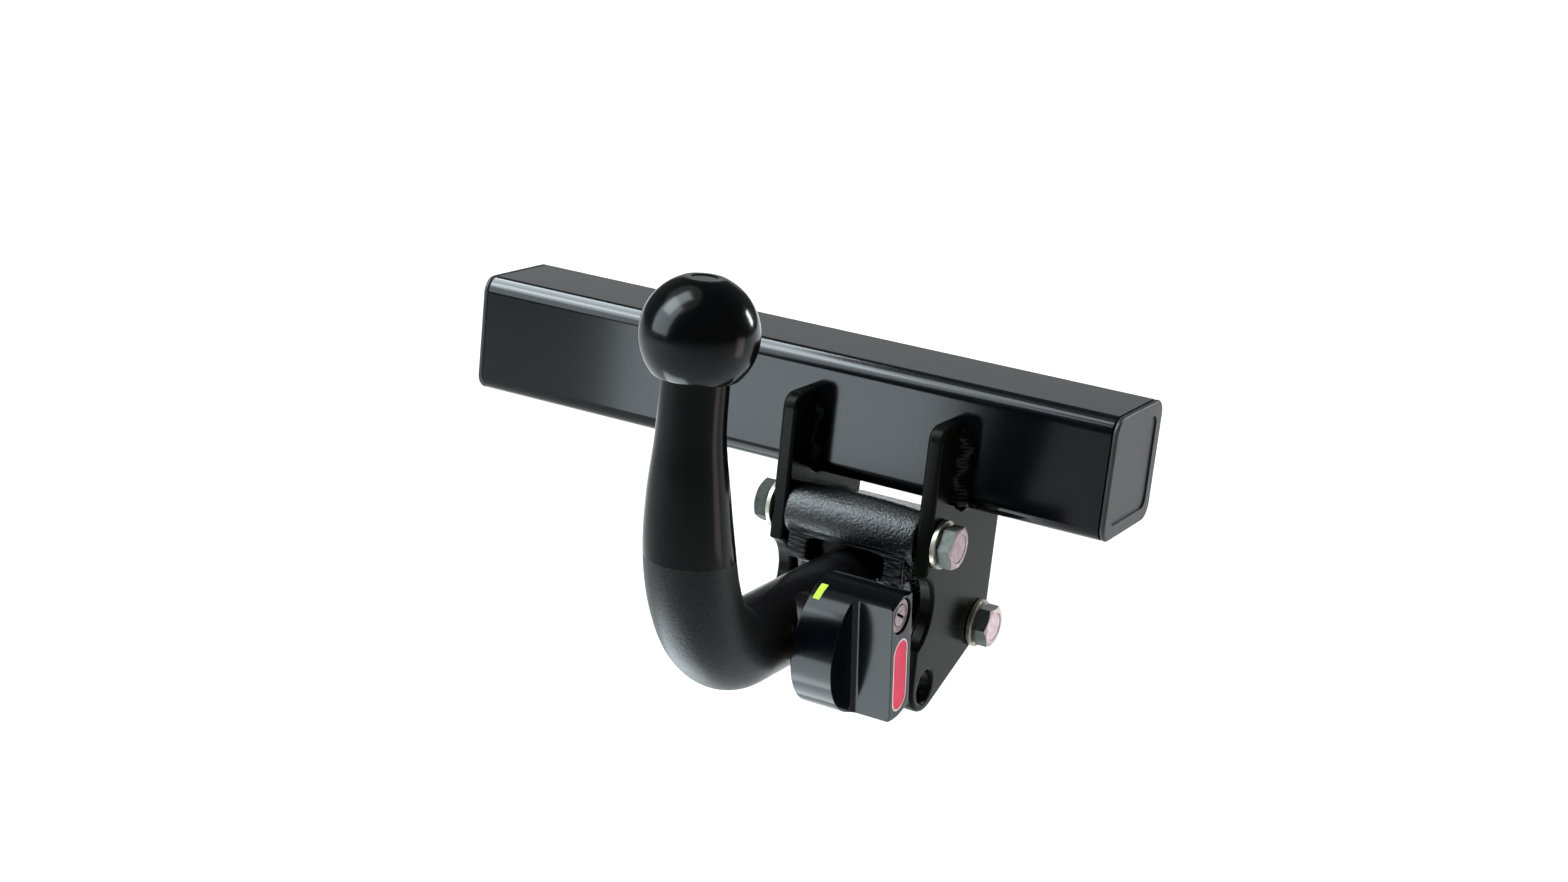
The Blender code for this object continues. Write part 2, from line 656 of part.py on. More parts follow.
def make_locking_balls():
    for i, label in enumerate(("top", "right", "left")):
        angle = math.radians(120 * i)
        bm = bmesh.new()
        bmesh.ops.create_uvsphere(bm, u_segments=14, v_segments=9, radius=LOCK_BALL_R)
        place = (LOCK_BALL_IN * math.sin(angle), LOCK_BALL_Y, SHANK_Z + LOCK_BALL_IN * math.cos(angle))
        add(f"locking_ball_{label}", mesh_from(bm, label), STEEL, place)


def make_push_rod():
    """Rod in the shank: rack teeth at the front, then guide, waist, cone, land and guide."""
    cone_start = LOCK_BALL_Y + 0.001
    cone_end = cone_start + ROD_TRAVEL
    profile = [
        (0, ROD_FRONT), (ROD_R, ROD_FRONT), (ROD_R, -0.0530), (ROD_WAIST, -0.0515),
        (ROD_WAIST, cone_start), (ROD_LAND, cone_end), (ROD_LAND, cone_end + 0.004),
        (ROD_R, cone_end + 0.005), (ROD_R, ROD_END), (0, ROD_END),
    ]
    push_rod = turned("push_rod", profile, STEEL, "Y", (0, 0, SHANK_Z), steps=20)
    pitch_line = WHEEL_Z + GEAR_PITCH_R + 0.0002
    tip = pitch_line - RACK_ADDENDUM * GEAR_MODULE
    root = pitch_line + RACK_DEDENDUM * GEAR_MODULE
    lean = math.tan(PRESSURE_ANGLE)
    backlash = 0.00015
    half_pitch_width = GEAR_MODULE * math.pi / 4 - backlash
    half_tip = half_pitch_width - RACK_ADDENDUM * GEAR_MODULE * lean
    half_root = half_pitch_width + RACK_DEDENDUM * GEAR_MODULE * lean
    pitch = math.pi * GEAR_MODULE
    reach = 0.010
    low = SHANK_Z - reach
    comb = [(ROD_FRONT - 0.001, low)]
    for i in range(-1, 5):
        y = WHEEL_Y + i * pitch
        comb += [(y - half_root, root), (y - half_tip, tip), (y + half_tip, tip), (y + half_root, root)]
    comb[1:2] = [(ROD_FRONT - 0.001, tip)]
    comb[-1:] = [(RACK_END, tip), (RACK_END, low)]
    cutter = profile_plate("rack_cutter", [comb], -reach, reach, None)
    cut(push_rod, cutter)
    front, back = TAIL_PLUG_Y
    plug = [(0, front), (TAIL_PLUG_R, front), (TAIL_PLUG_R, back - 0.0007), (TAIL_PLUG_R - 0.001, back),
            (0, back)]
    turned("tail_plug", plug, STEEL, "Y", (0, 0, SHANK_Z), steps=20)
    seal = circle((SEAL_PITCH_R, SEAL_Y), SEAL_R, 8)
    turned("shank_seal", seal, RUBBER, "Y", (0, 0, SHANK_Z), steps=28)


# ---------------------------------------------------------------- handwheel, in its own frame
TILT_S, TILT_C = math.sin(WHEEL_TILT), math.cos(WHEEL_TILT)
# Local X runs up the grip bar to the key lock, local Z out along the wheel's axis.
WHEEL_FRAME = frame_object("wheel_axis", (0, WHEEL_Y, WHEEL_Z), (0, -TILT_S, TILT_C),
                           (0, -TILT_C, -TILT_S), (1, 0, 0))
SPINDLE_FRAME = frame_object("spindle_axis", (0, WHEEL_Y, WHEEL_Z), (0, 0, 1), (0, -1, 0), (1, 0, 0))


def polar(radius, degrees):
    """A place in the wheel's frame, at an angle from the grip bar's direction."""
    angle = math.radians(degrees)
    return (radius * math.cos(angle), radius * math.sin(angle), 0)


def pinion_outline():
    """Involute teeth with a tooth space at angle 0, thinned for backlash."""
    base_r = GEAR_PITCH_R * math.cos(PRESSURE_ANGLE)
    backlash = 0.028

    def involute(pressure):
        return math.tan(pressure) - pressure

    def half_angle(radius):
        pressure = math.acos(min(1.0, base_r / radius))
        return math.pi / (2 * GEAR_TEETH) + involute(PRESSURE_ANGLE) - involute(pressure) - backlash

    radii = [0.00575, GEAR_PITCH_R, 0.00645, 0.0069]
    points = []
    for tooth in range(GEAR_TEETH):
        centre = 2 * math.pi * (tooth + 0.5) / GEAR_TEETH
        flank = [(0.0047, 0.105)] + [(radius, half_angle(radius)) for radius in radii]
        for radius, angle in flank:
            points.append((radius * math.cos(centre - angle), radius * math.sin(centre - angle)))
        for radius, angle in reversed(flank):
            points.append((radius * math.cos(centre + angle), radius * math.sin(centre + angle)))
    return points


def make_spindle():
    spindle = turned("wheel_spindle", [
        (0, -0.0132), (0.0036, -0.0132), (0.0040, -0.0128), (0.0040, -0.0076), (0.0044, -0.0076),
        (0.0044, 0.0062), (0.0050, 0.0062), (0.0050, 0.0225), (0.0030, 0.0225), (0.0030, 0.0455),
        (0, 0.0455)], STEEL, parent=SPINDLE_FRAME, steps=20)
    pinion = prism("pinion", pinion_outline(), -0.0060, 0.0060, SPINDLE_FRAME)
    half = SPINDLE_SQUARE
    square = block("drive_square", (-half, -half, 0.0215), (half, half, 0.0380), parent=WHEEL_FRAME)
    join(spindle, pinion, square)

    bush = turned("flanged_bush", [
        (0.0053, 0.0083), (BUSH_R, 0.0083), (BUSH_R, 0.0211), (BUSH_FLANGE_R, 0.0211),
        (BUSH_FLANGE_R, 0.0233), (0.0053, 0.0233)], BRONZE, parent=WHEEL_FRAME, steps=28)
    for i, pin_at in enumerate((90.0, 270.0)):
        start = pin_at - STOP_SPARE
        end = pin_at + math.degrees(WHEEL_TURN) + STOP_SPARE
        wide = arc((0, 0), STOP_PIN_PITCH + STOP_SLOT_HALF, start, end, 9)
        narrow = arc((0, 0), STOP_PIN_PITCH - STOP_SLOT_HALF, end, start, 9)
        cut(bush, prism(f"stop_slot_{i}", wide + narrow, 0.0200, 0.0240, WHEEL_FRAME))
    for label, angle in zip(("a", "b"), BUSH_SCREW_ANGLES):
        place = (BUSH_SCREW_PITCH * math.cos(angle), BUSH_SCREW_PITCH * math.sin(angle), 0)
        seat = [(0, 0.0200), (0.0017, 0.0200), (0.0017, 0.0216), (0.0031, 0.0230), (0.0031, 0.0240),
                (0, 0.0240)]
        cut(bush, turned("screw_seat", seat, None, "Z", place, WHEEL_FRAME, 16))
        screw = [(0, 0.0135), (0.0013, 0.0135), (0.0013, 0.0218), (0.0027, 0.0232), (0, 0.0232)]
        turned(f"bush_screw_{label}", screw, ZINC, "Z", place, WHEEL_FRAME, 14)

    washer = [(0.0034, 0.0383), (0.0095, 0.0383), (0.0095, 0.0398), (0.0034, 0.0398)]
    turned("spring_washer_plate", washer, ZINC, parent=WHEEL_FRAME, steps=24)
    nut = prism("spindle_nut", circle((0, 0), 0.0057, 6), 0.0401, 0.0440, WHEEL_FRAME, ZINC)
    cut(nut, rod("nut_hole", 0.0033, 0.0390, 0.0450, None, parent=WHEEL_FRAME, steps=16))


def make_core():
    inner, outer = CORE_Z
    core = rod("wheel_core", CORE_R, inner, outer, PLAIN_PLASTIC, parent=WHEEL_FRAME, steps=36)
    half = SPINDLE_SQUARE + CLEARANCE
    cut(core, block("core_square", (-half, -half, 0.0200), (half, half, 0.0400), parent=WHEEL_FRAME))
    cut(core, rod("spring_seat", 0.0097, outer - 0.0004, 0.0400, parent=WHEEL_FRAME, steps=24))
    for label, angle in (("upper", 90.0), ("lower", 270.0)):
        place = polar(STOP_PIN_PITCH, angle)
        hole_r = STOP_PIN_R + CLEARANCE
        cut(core, rod("pin_hole", hole_r, 0.0200, 0.0300, None, "Z", place, WHEEL_FRAME, 14))
        rod(f"stop_pin_{label}", STOP_PIN_R, *STOP_PIN_Z, STEEL, "Z", place, WHEEL_FRAME, 14)
    for label, angle in zip(("front", "rear"), CORE_SCREW_ANGLES):
        place = polar(CORE_SCREW_PITCH, angle)
        cut(core, rod("screw_hole", 0.0020, 0.0200, 0.0300, None, "Z", place, WHEEL_FRAME, 14))
        screw = [(0, 0.0226), (0.0031, 0.0226), (0.0031, 0.0236), (0.0015, 0.0236), (0.0015, 0.0345),
                 (0, 0.0355)]
        turned(f"core_screw_{label}", screw, ZINC, "Z", place, WHEEL_FRAME, 14)

    per_turn = 12
    start, end = outer + 0.0006 + SPRING_WIRE / 2, 0.0380 - SPRING_WIRE
    count = int(SPRING_TURNS * per_turn)
    coil = []
    for i in range(count + 1):
        angle = 2 * math.pi * i / per_turn
        rise = start + (end - start) * i / count
        coil.append((SPRING_R * math.cos(angle), SPRING_R * math.sin(angle), rise))
    tube_along("wheel_spring", coil, SPRING_WIRE, ZINC, WHEEL_FRAME)


def make_shell():
    shell = turned("wheel_shell", [
        (0, DRUM_BACK), (WHEEL_R - 0.0005, DRUM_BACK), (WHEEL_R, DRUM_BACK + 0.0006),
        (WHEEL_R, GRIP_END - 0.0010), (WHEEL_R - 0.0010, GRIP_END), (0, GRIP_END)],
        WHEEL_PLASTIC, parent=WHEEL_FRAME, steps=40)
    half, fillet = GRIP_THICK / 2, 0.0035
    foot = arc((half + fillet, DRUM_FRONT + fillet), fillet, 180, 270, 5)
    side = [(half - 0.0015, 0.0650), (half - 0.0010, GRIP_END), (half, GRIP_END - 0.0010), *foot,
            (0.0400, DRUM_FRONT), (0.0400, 0.0650)]
    for sign, label in ((1, "front"), (-1, "rear")):
        outline = [(sign * y, z) for y, z in side]
        recess = add(f"finger_recess_{label}", flat_curve("recess", [outline], 0.0400), None,
                     (0, 0, 0), (math.radians(90), 0, math.radians(90)))
        recess = solid_of(recess)
        recess.parent = WHEEL_FRAME
        cut(shell, recess)
    cavity = rod("cavity", CAVITY_R, 0.0150, CAVITY_END, None, parent=WHEEL_FRAME, steps=32)
    posts = [polar(CORE_SCREW_PITCH, angle) for angle in CORE_SCREW_ANGLES]
    for place in posts:
        cut(cavity, rod("screw_post", 0.0038, 0.0267, 0.0450, None, "Z", place, WHEEL_FRAME, 16))
    cut(shell, cavity)
    for place in posts:
        cut(shell, rod("post_hole", 0.0018, 0.0250, 0.0365, None, "Z", place, WHEEL_FRAME, 12))
    cut(shell, rod("nut_pocket", 0.0070, 0.0390, 0.0475, None, parent=WHEEL_FRAME, steps=20))
    cut(shell, rod("lock_bore", LOCK_R + CLEARANCE, 0.0378, 0.0650, None, "Z", (KEY_LOCK_OFFSET, 0, 0),
                   WHEEL_FRAME, 28))

    label_middle = ((LABEL_X[0] + LABEL_X[1]) / 2, 0)
    length, width = LABEL_X[1] - LABEL_X[0], 2 * LABEL_HALF
    recess = box_outline(length + 0.0006, width + 0.0006, LABEL_HALF, label_middle, 7)
    cut(shell, prism("label_recess", recess, GRIP_END - LABEL_DEPTH, 0.0650, WHEEL_FRAME))
    plate = box_outline(length, width, LABEL_HALF - CLEARANCE, label_middle, 7)
    plate_z = GRIP_END - LABEL_DEPTH + CLEARANCE
    prism("label_plate", plate, plate_z, plate_z + LABEL_T, WHEEL_FRAME, RED)

    low, high = MARK_ANGLE - MARK_SPAN / 2, MARK_ANGLE + MARK_SPAN / 2
    margin = 0.6
    pocket = arc((0, 0), 0.0320, low - margin, high + margin, 5)
    pocket += arc((0, 0), MARK_INNER - CLEARANCE, high + margin, low - margin, 5)
    pocket_z = MARK_Z[0] - CLEARANCE, MARK_Z[1] + CLEARANCE
    cut(shell, prism("mark_pocket", pocket, *pocket_z, WHEEL_FRAME))
    mark = arc((0, 0), WHEEL_R - 0.0001, low, high, 5) + arc((0, 0), MARK_INNER, high, low, 5)
    prism("green_mark", mark, *MARK_Z, WHEEL_FRAME, GREEN)


def make_key_lock():
    place = (KEY_LOCK_OFFSET, 0, 0)
    edge = 0.0004
    barrel = [(LOCK_PLUG_R + CLEARANCE, LOCK_START), (LOCK_R, LOCK_START), (LOCK_R, LOCK_FACE - edge),
              (LOCK_R - edge, LOCK_FACE), (LOCK_PLUG_R + CLEARANCE, LOCK_FACE)]
    turned("lock_barrel", barrel, LOCK_METAL, "Z", place, WHEEL_FRAME, 28)
    plug = rod("lock_plug", LOCK_PLUG_R, 0.0370, LOCK_FACE, LOCK_METAL, "Z", place, WHEEL_FRAME, 24)
    half = 0.0020
    join(plug, lock_block("plug_tail", (half, half), 0.0336, 0.0380))
    half_width, half_height, depth = KEY_SLIT
    cut(plug, lock_block("key_slit", (half_width, half_height), LOCK_FACE - depth, LOCK_FACE + 0.0010))
    tip = [(-0.0022, CAM_NOSE - 0.001), (-0.0012, CAM_NOSE), (0.0012, CAM_NOSE), (0.0022, CAM_NOSE - 0.001)]
    outline = [(KEY_LOCK_OFFSET + x, y) for x, y in arc((0, 0), 0.0045, 0, -180, 9) + tip]
    cam = prism("lock_cam", outline, *CAM_Z, WHEEL_FRAME, ZINC)
    cut(cam, lock_block("cam_square", (half + CLEARANCE, half + CLEARANCE), 0.0330, 0.0375))


def lock_block(name, half, low, high):
    """A block round the key lock's axis, given its half widths."""
    x, y = half
    return block(name, (KEY_LOCK_OFFSET - x, -y, low), (KEY_LOCK_OFFSET + x, y, high), parent=WHEEL_FRAME)


make_beam()
make_plates()
make_welds()
make_housing()
make_sleeve()
make_bolts()
make_neck()
make_locking_balls()
make_push_rod()
make_spindle()
make_core()
make_shell()
make_key_lock()
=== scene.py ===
"""Looks for the detachable swan-neck tow ball: finer pieces, materials, light and camera.

Metres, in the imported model's frame: +X along the crossbeam, +Y towards the vehicle, +Z up.
"""
import math

import bmesh
import bpy
from mathutils import Matrix, Vector, noise


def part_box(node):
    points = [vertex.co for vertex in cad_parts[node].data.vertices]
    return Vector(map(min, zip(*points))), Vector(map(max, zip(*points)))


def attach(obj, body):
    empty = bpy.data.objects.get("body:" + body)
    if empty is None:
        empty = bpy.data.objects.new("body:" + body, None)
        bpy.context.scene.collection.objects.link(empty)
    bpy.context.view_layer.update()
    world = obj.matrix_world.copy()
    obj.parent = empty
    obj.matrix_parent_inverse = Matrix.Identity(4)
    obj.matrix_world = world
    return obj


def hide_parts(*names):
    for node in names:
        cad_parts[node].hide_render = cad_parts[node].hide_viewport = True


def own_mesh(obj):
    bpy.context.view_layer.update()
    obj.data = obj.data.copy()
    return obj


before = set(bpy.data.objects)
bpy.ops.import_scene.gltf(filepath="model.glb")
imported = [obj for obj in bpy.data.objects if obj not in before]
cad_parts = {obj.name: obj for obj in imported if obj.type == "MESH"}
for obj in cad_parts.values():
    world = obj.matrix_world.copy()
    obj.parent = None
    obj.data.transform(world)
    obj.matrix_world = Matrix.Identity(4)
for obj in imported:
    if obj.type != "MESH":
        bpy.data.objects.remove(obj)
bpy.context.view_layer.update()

# --- sizes read from the frame
BEAM_LOW, BEAM_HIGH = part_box("crossbeam")
BEAM_SIZE = BEAM_HIGH[2] - BEAM_LOW[2]
PLATE_LOW, PLATE_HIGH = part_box("side_plate_right")
BALL_FLAT_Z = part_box("ball_neck")[1][2]
GRIP_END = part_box("wheel_shell")[1][0]
SLEEVE_LOW, SLEEVE_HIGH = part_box("locking_sleeve")

# --- driving dimensions
SIDES = ("left", -1), ("right", 1)
GAP = 0.0003                 # between pieces that would touch
HOLE_PLAY = 0.0005           # round the bolts' shanks
CUT_PAST = 0.001             # how far a cutter reaches past the face it cuts

BEAM_CORNER = 0.008
BEAM_WALL = 0.004
BEAM_EDGE = 0.0004
PLUG_FLANGE, PLUG_EDGE = 0.003, 0.0011
DISH_MARGIN, DISH_CORNER, DISH_DEPTH = 0.003, 0.005, 0.0009

PLATE_EDGE = 0.0019
HORN_CORNER, SHORT_CORNER = 0.0075, 0.0012
PLATE_HEEL, HEEL_CORNER = -0.1053, 0.008
PLATE_TIP, TIP_CORNER = -0.1403, 0.0165      # where the plate's two lower edges would meet
RECESS_CENTRE = (-0.0901, -0.078)
RECESS_R = 0.020
EYE_CENTRE = (-0.068, -0.1185)
EYE_R = 0.008
UPPER_BOLT = (-0.0718, -0.0448)
LOWER_BOLT = (-0.0140, -0.0998)
BOLT_R = 0.006
BOLT_HEAD = 0.019
BOLT_HEAD_H = 0.0075
BOLT_LENGTH = 0.030
WASHER_R = 0.012
WASHER_T = 0.0025
WASHER_EDGE = 0.0004

BEAD_RIPPLE = 0.0019
BEAD_BACK = 0.0026           # how far a weld bead reaches into the steel behind it

HOUSING_FRONT = -0.0845
HOUSING_HALF = 0.031
BOSS_HALF = 0.0342
BOSS_R, BOSS_SWELL = 0.013, 0.0012
BARREL_R, BARREL_BACK = 0.0245, -0.030
BARREL_SETBACK = 0.0025
WINDOW_Z, WINDOW_BACK = -0.0600, 0.0673
WINDOW_SIZE, WINDOW_CORNER = (0.0410, 0.0124), 0.0032
LUG_SIZE, LUG_CORNER, LUG_EDGE = (0.0396, 0.0114), 0.0028, 0.0006
LUG_BACK, LUG_FRONT = 0.0680, 0.0750
PAD_TOP, PAD_DEPTH = -0.0500, 0.0006
HOUSING_OUTLINE = [          # (y, z, corner radius) of the casting's side view
    (HOUSING_FRONT, -0.0440, 0), (HOUSING_FRONT, -0.0660, 0.0015), (-0.0740, -0.0660, 0.004),
    (-0.0620, -0.0975, 0.008), (-0.0260, -0.1010, 0.010), (-0.0140, -0.1080, 0.006),
    (-0.0040, -0.1000, 0.004), (-0.0040, -0.0500, 0.006), (-0.0600, -0.0370, 0.004),
    (-0.0720, -0.0360, 0)]

BALL_Y, BALL_Z, BALL_R = -0.245, 0.076, 0.025
BALL_FLAT_R = 0.0087
BALL_RIM_DROP = 0.0171
TURNED_ABOVE = -0.021        # the neck is machined smooth above this height, forged below

SHANK_Z, SHANK_R = -0.0725, 0.0165
SHANK_FRONT, SHANK_TAIL = -0.087, -0.015
SEAL_Y, SEAL_GROOVE_HALF, SEAL_GROOVE_R = -0.062, 0.0014, 0.0141
SEAL_RING_R, SEAL_WIRE_R = 0.0155, 0.00105
ROD_BORE = -0.1620, (0.0073, -0.0193), (0.0098, -0.0100)      # start, then (radius, end)
SPINDLE_BORE = -0.0140, (0.0043, -0.0080), (0.0074, 0.0080), (0.0093, 0.0300)
BALL_HOLE_IN, BALL_HOLE_OUT = 0.0045, 0.0200
LOCK_BALL_R, LOCK_BALL_Y, LOCK_BALL_IN = 0.006, -0.040, 0.0102
LOCK_BALL_TRAVEL = 0.0023

WHEEL_Y, WHEEL_Z = -0.1461, -0.0755
WHEEL_R = 0.0303
WHEEL_TILT = math.radians(10.6)
DRUM_BACK, DRUM_FRONT = 0.0224, 0.0429
GRIP_THICK, GRIP_FILLET = 0.0195, 0.0035
CAVITY = 0.0263, 0.0150, 0.0406             # radius, start, end
NUT_POCKET = 0.0070, 0.0390, 0.0475
BEYOND_GRIP = 0.0650         # a height past the grip bar's end, for cutters
KEY_LOCK_OFFSET = 0.021
LOCK_R, LOCK_INNER_R, LOCK_EDGE = 0.008, 0.0053, 0.0005
LOCK_SEAT, LOCK_FACE = 0.0378, GRIP_END - 0.0010
KEY_R, KEY_BACK, KEY_EDGE = 0.0050, 0.0370, 0.0003
LABEL_X = (-0.0270, 0.0090)
LABEL_HALF, LABEL_BORDER = 0.0069, 0.0009
LABEL_BACK, LABEL_T, LABEL_FIELD_T = GRIP_END - 0.0007, 0.0006, 0.00045
MARK_ANGLES, MARK_PLAY = (10, 28), 0.6      # degrees round the wheel's axis, from the key lock
BUSH_FLANGE_R = 0.0158
BUSH_BACK, BUSH_SEAT, BUSH_FACE = 0.0083, 0.0211, 0.0233
STOP_SLOT, STOP_SWEEP = (0.0140, 0.0100), 97      # radii, degrees
BUSH_SCREW_R = 0.0120        # from the wheel's axis
NECK_BOSS_R, NECK_BOSS_BACK, NECK_BOSS_FACE = BUSH_FLANGE_R + 0.001, 0.0060, 0.0208

# (y, z, radius) of the neck's round sections, from the ball's underside to the shank.
NECK_STATIONS = [
    (-0.2450, 0.0589, 0.0144),
    (-0.2443, 0.0337, 0.0148),
    (-0.2418, 0.0086, 0.0175),
    (-0.2371, -0.0162, 0.0194),
    (-0.2285, -0.0400, 0.0198),
    (-0.2142, -0.0608, 0.0195),
    (-0.1929, -0.0738, 0.0191),
    (-0.1650, -0.0757, 0.0190),
    (-0.1000, -0.0752, 0.0188),
    (SHANK_FRONT, SHANK_Z, SHANK_R),
]


# --- places
def axes(origin, x_axis, y_axis, z_axis):
    """Matrix whose local axes point along the three given directions."""
    return Matrix.Translation(origin) @ Matrix((x_axis, y_axis, z_axis)).transposed().to_4x4()


def along_x(centre, sign=1):
    """Local Z along +X or -X, local X up."""
    return axes(centre, (0, 0, 1), (0, -sign, 0), (sign, 0, 0))


# Outlines of plates and tubes are drawn in world Y and Z and extruded along X.
SIDE_VIEW = axes((0, 0, 0), (0, 1, 0), (0, 0, 1), (1, 0, 0))
# Drawn in world X and Z and extruded towards the ball, so a height here is a distance along -Y.
FRONT_VIEW = axes((0, 0, 0), (1, 0, 0), (0, 0, 1), (0, -1, 0))
TILT_S, TILT_C = math.sin(WHEEL_TILT), math.cos(WHEEL_TILT)
# Local X runs up the grip bar to the key lock, local Z out along the wheel's axis.
WHEEL = axes((0, WHEEL_Y, WHEEL_Z), (0, -TILT_S, TILT_C), (0, -TILT_C, -TILT_S), (1, 0, 0))
KEY = WHEEL @ Matrix.Translation((KEY_LOCK_OFFSET, 0, 0))
SHANK = axes((0, 0, SHANK_Z), (1, 0, 0), (0, 0, -1), (0, 1, 0))


# --- outlines
def arc(centre, radius, start, end, count):
    """Points on an arc between two angles in degrees, both ends included."""
    angles = [math.radians(start + (end - start) * i / (count - 1)) for i in range(count)]
    return [(centre[0] + radius * math.cos(a), centre[1] + radius * math.sin(a)) for a in angles]


def circle(centre, radius, count=64):
    return arc(centre, radius, 0, 360, count + 1)[:-1]


def low_edge(radius, along, edge, count=5):
    """The rounded outer edge of a turned piece at its lower end, for lathe outlines."""
    return arc((radius - edge, along + edge), edge, -90, 0, count)


def high_edge(radius, along, edge, count=5):
    return arc((radius - edge, along - edge), edge, 0, 90, count)


def stepped(start, *steps):
    """Outline of a round bar or bore that reaches each (radius, end) in turn."""
    outline = [(0, start)]
    for radius, end in steps:
        outline += [(radius, start), (radius, end)]
        start = end
    return [*outline, (0, start)]


def sector(outer, inner, low, high, count):
    """Outline between two radii and two angles in degrees."""
    return arc((0, 0), outer, low, high, count) + arc((0, 0), inner, high, low, count)


def rounded(corners, count=12):
    """A closed outline through (x, y, radius) corners, each rounded by its own radius."""
    points = []
    for i, (x, y, radius) in enumerate(corners):
        here = Vector((x, y))
        before = (Vector(corners[i - 1][:2]) - here).normalized()
        after = (Vector(corners[(i + 1) % len(corners)][:2]) - here).normalized()
        if radius == 0:
            points.append((x, y))
            continue
        half = before.angle(after) / 2
        centre = here + (before + after).normalized() * radius / math.sin(half)
        start = here + before * radius / math.tan(half) - centre
        end = here + after * radius / math.tan(half) - centre
        first = math.degrees(math.atan2(start.y, start.x))
        sweep = (math.degrees(math.atan2(end.y, end.x)) - first + 180) % 360 - 180
        points += arc(centre, radius, first, first + sweep, count)
    return points


def box_outline(width, height, radius, centre=(0, 0), count=12):
    x, y = width / 2, height / 2
    corners = [(centre[0] + sx * x, centre[1] + sy * y, radius)
               for sx, sy in ((1, 1), (-1, 1), (-1, -1), (1, -1))]
    return rounded(corners, count)


def smooth_rows(stations, per_span):
    """Catmull-Rom rows through the stations, which are tuples of equal length."""
    rows = []
    count = len(stations)
    for i in range(count - 1):
        a, b = stations[max(i - 1, 0)], stations[i]
        c, d = stations[i + 1], stations[min(i + 2, count - 1)]
        for step in range(per_span):
            t = step / per_span
            rows.append(tuple(
                0.5 * (2 * q + (r - p) * t + (2 * p - 5 * q + 4 * r - s) * t * t
                       + (3 * q - p - 3 * r + s) * t ** 3)
                for p, q, r, s in zip(a, b, c, d)))
    rows.append(stations[-1])
    return rows


# --- mesh building
def link(obj):
    bpy.context.scene.collection.objects.link(obj)
    return obj


def piece_from(bm, name, place):
    """A mesh object with its vertices in the row frame and outward normals."""
    bmesh.ops.remove_doubles(bm, verts=bm.verts, dist=0.000002)
    bmesh.ops.recalc_face_normals(bm, faces=bm.faces)
    bm.transform(place)
    mesh = bpy.data.meshes.new(name)
    bm.to_mesh(mesh)
    bm.free()
    return link(bpy.data.objects.new(name, mesh))


def lathe(name, profile, place, steps=96):
    """A turned piece from a closed (radius, along) outline, round the local Z axis."""
    bm = bmesh.new()
    rings = []
    for radius, along in profile:
        if radius == 0:
            rings.append([bm.verts.new((0, 0, along))])
            continue
        rings.append([bm.verts.new((radius * math.cos(2 * math.pi * k / steps),
                                    radius * math.sin(2 * math.pi * k / steps), along))
                      for k in range(steps)])
    for lower, upper in zip(rings, rings[1:] + rings[:1]):
        if len(lower) == 1 and len(upper) == 1:
            continue
        for k in range(steps):
            n = (k + 1) % steps
            quad = [lower[k % len(lower)], lower[n % len(lower)],
                    upper[n % len(upper)], upper[k % len(upper)]]
            bm.faces.new(list(dict.fromkeys(quad)))
    return piece_from(bm, name, place)


def rod(name, radius, start, end, place, edge=0.0, steps=96):
    """A round bar with both edges rounded."""
    if edge == 0:
        return lathe(name, stepped(start, (radius, end)), place, steps)
    edges = low_edge(radius, start, edge) + high_edge(radius, end, edge)
    return lathe(name, [(0, start), *edges, (0, end)], place, steps)


def ring(name, inner, outer, start, end, place, edge):
    """A flat ring with all four edges rounded."""
    profile = (low_edge(outer, start, edge) + high_edge(outer, end, edge)
               + arc((inner + edge, end - edge), edge, 90, 180, 5)
               + arc((inner + edge, start + edge), edge, 180, 270, 5))
    return lathe(name, profile, place)


def stack(name, rings, place):
    """Rings of equal point count skinned in order, with both ends closed."""
    bm = bmesh.new()
    rows = [[bm.verts.new(point) for point in row] for row in rings]
    count = len(rings[0])
    for lower, upper in zip(rows, rows[1:]):
        for k in range(count):
            n = (k + 1) % count
            bm.faces.new((lower[k], lower[n], upper[n], upper[k]))
    bm.faces.new(list(reversed(rows[0])))
    bm.faces.new(rows[-1])
    return piece_from(bm, name, place)


def slab(name, loops, low, high, place, edge=0.0, edge_steps=3):
    """A flat piece from an outline and its holes, between two heights, with rounded edges."""
    curve = bpy.data.curves.new(name, "CURVE")
    curve.dimensions = "2D"
    curve.fill_mode = "BOTH"
    curve.extrude = (high - low) / 2 - edge
    curve.bevel_depth = edge
    curve.bevel_resolution = edge_steps
    curve.offset = -edge
    for loop in loops:
        spline = curve.splines.new("POLY")
        spline.points.add(len(loop) - 1)
        for point, (x, y) in zip(spline.points, loop):
            point.co = (x, y, 0.0, 1.0)
        spline.use_cyclic_u = True
    return piece_from(solid(curve), name, place @ Matrix.Translation((0, 0, (low + high) / 2)))


def block(name, low, high, place):
    bm = bmesh.new()
    size = [b - a for a, b in zip(low, high)]
    middle = [(a + b) / 2 for a, b in zip(low, high)]
    cube = Matrix.Translation(middle) @ Matrix.Diagonal((*size, 1.0))
    bmesh.ops.create_cube(bm, size=1.0, matrix=cube)
    return piece_from(bm, name, place)


def baked(obj):
    """The object's mesh with its modifiers applied."""
    bpy.context.view_layer.update()
    shaped = obj.evaluated_get(bpy.context.evaluated_depsgraph_get())
    return bpy.data.meshes.new_from_object(shaped)


def apply_modifiers(obj):
    obj.data = baked(obj)
    obj.modifiers.clear()


def solid(curve):
    """The mesh of a curve with a bevel or a fill."""
    holder = link(bpy.data.objects.new("curve_holder", curve))
    bm = bmesh.new()
    bm.from_mesh(baked(holder))
    bpy.data.objects.remove(holder)
    return bm


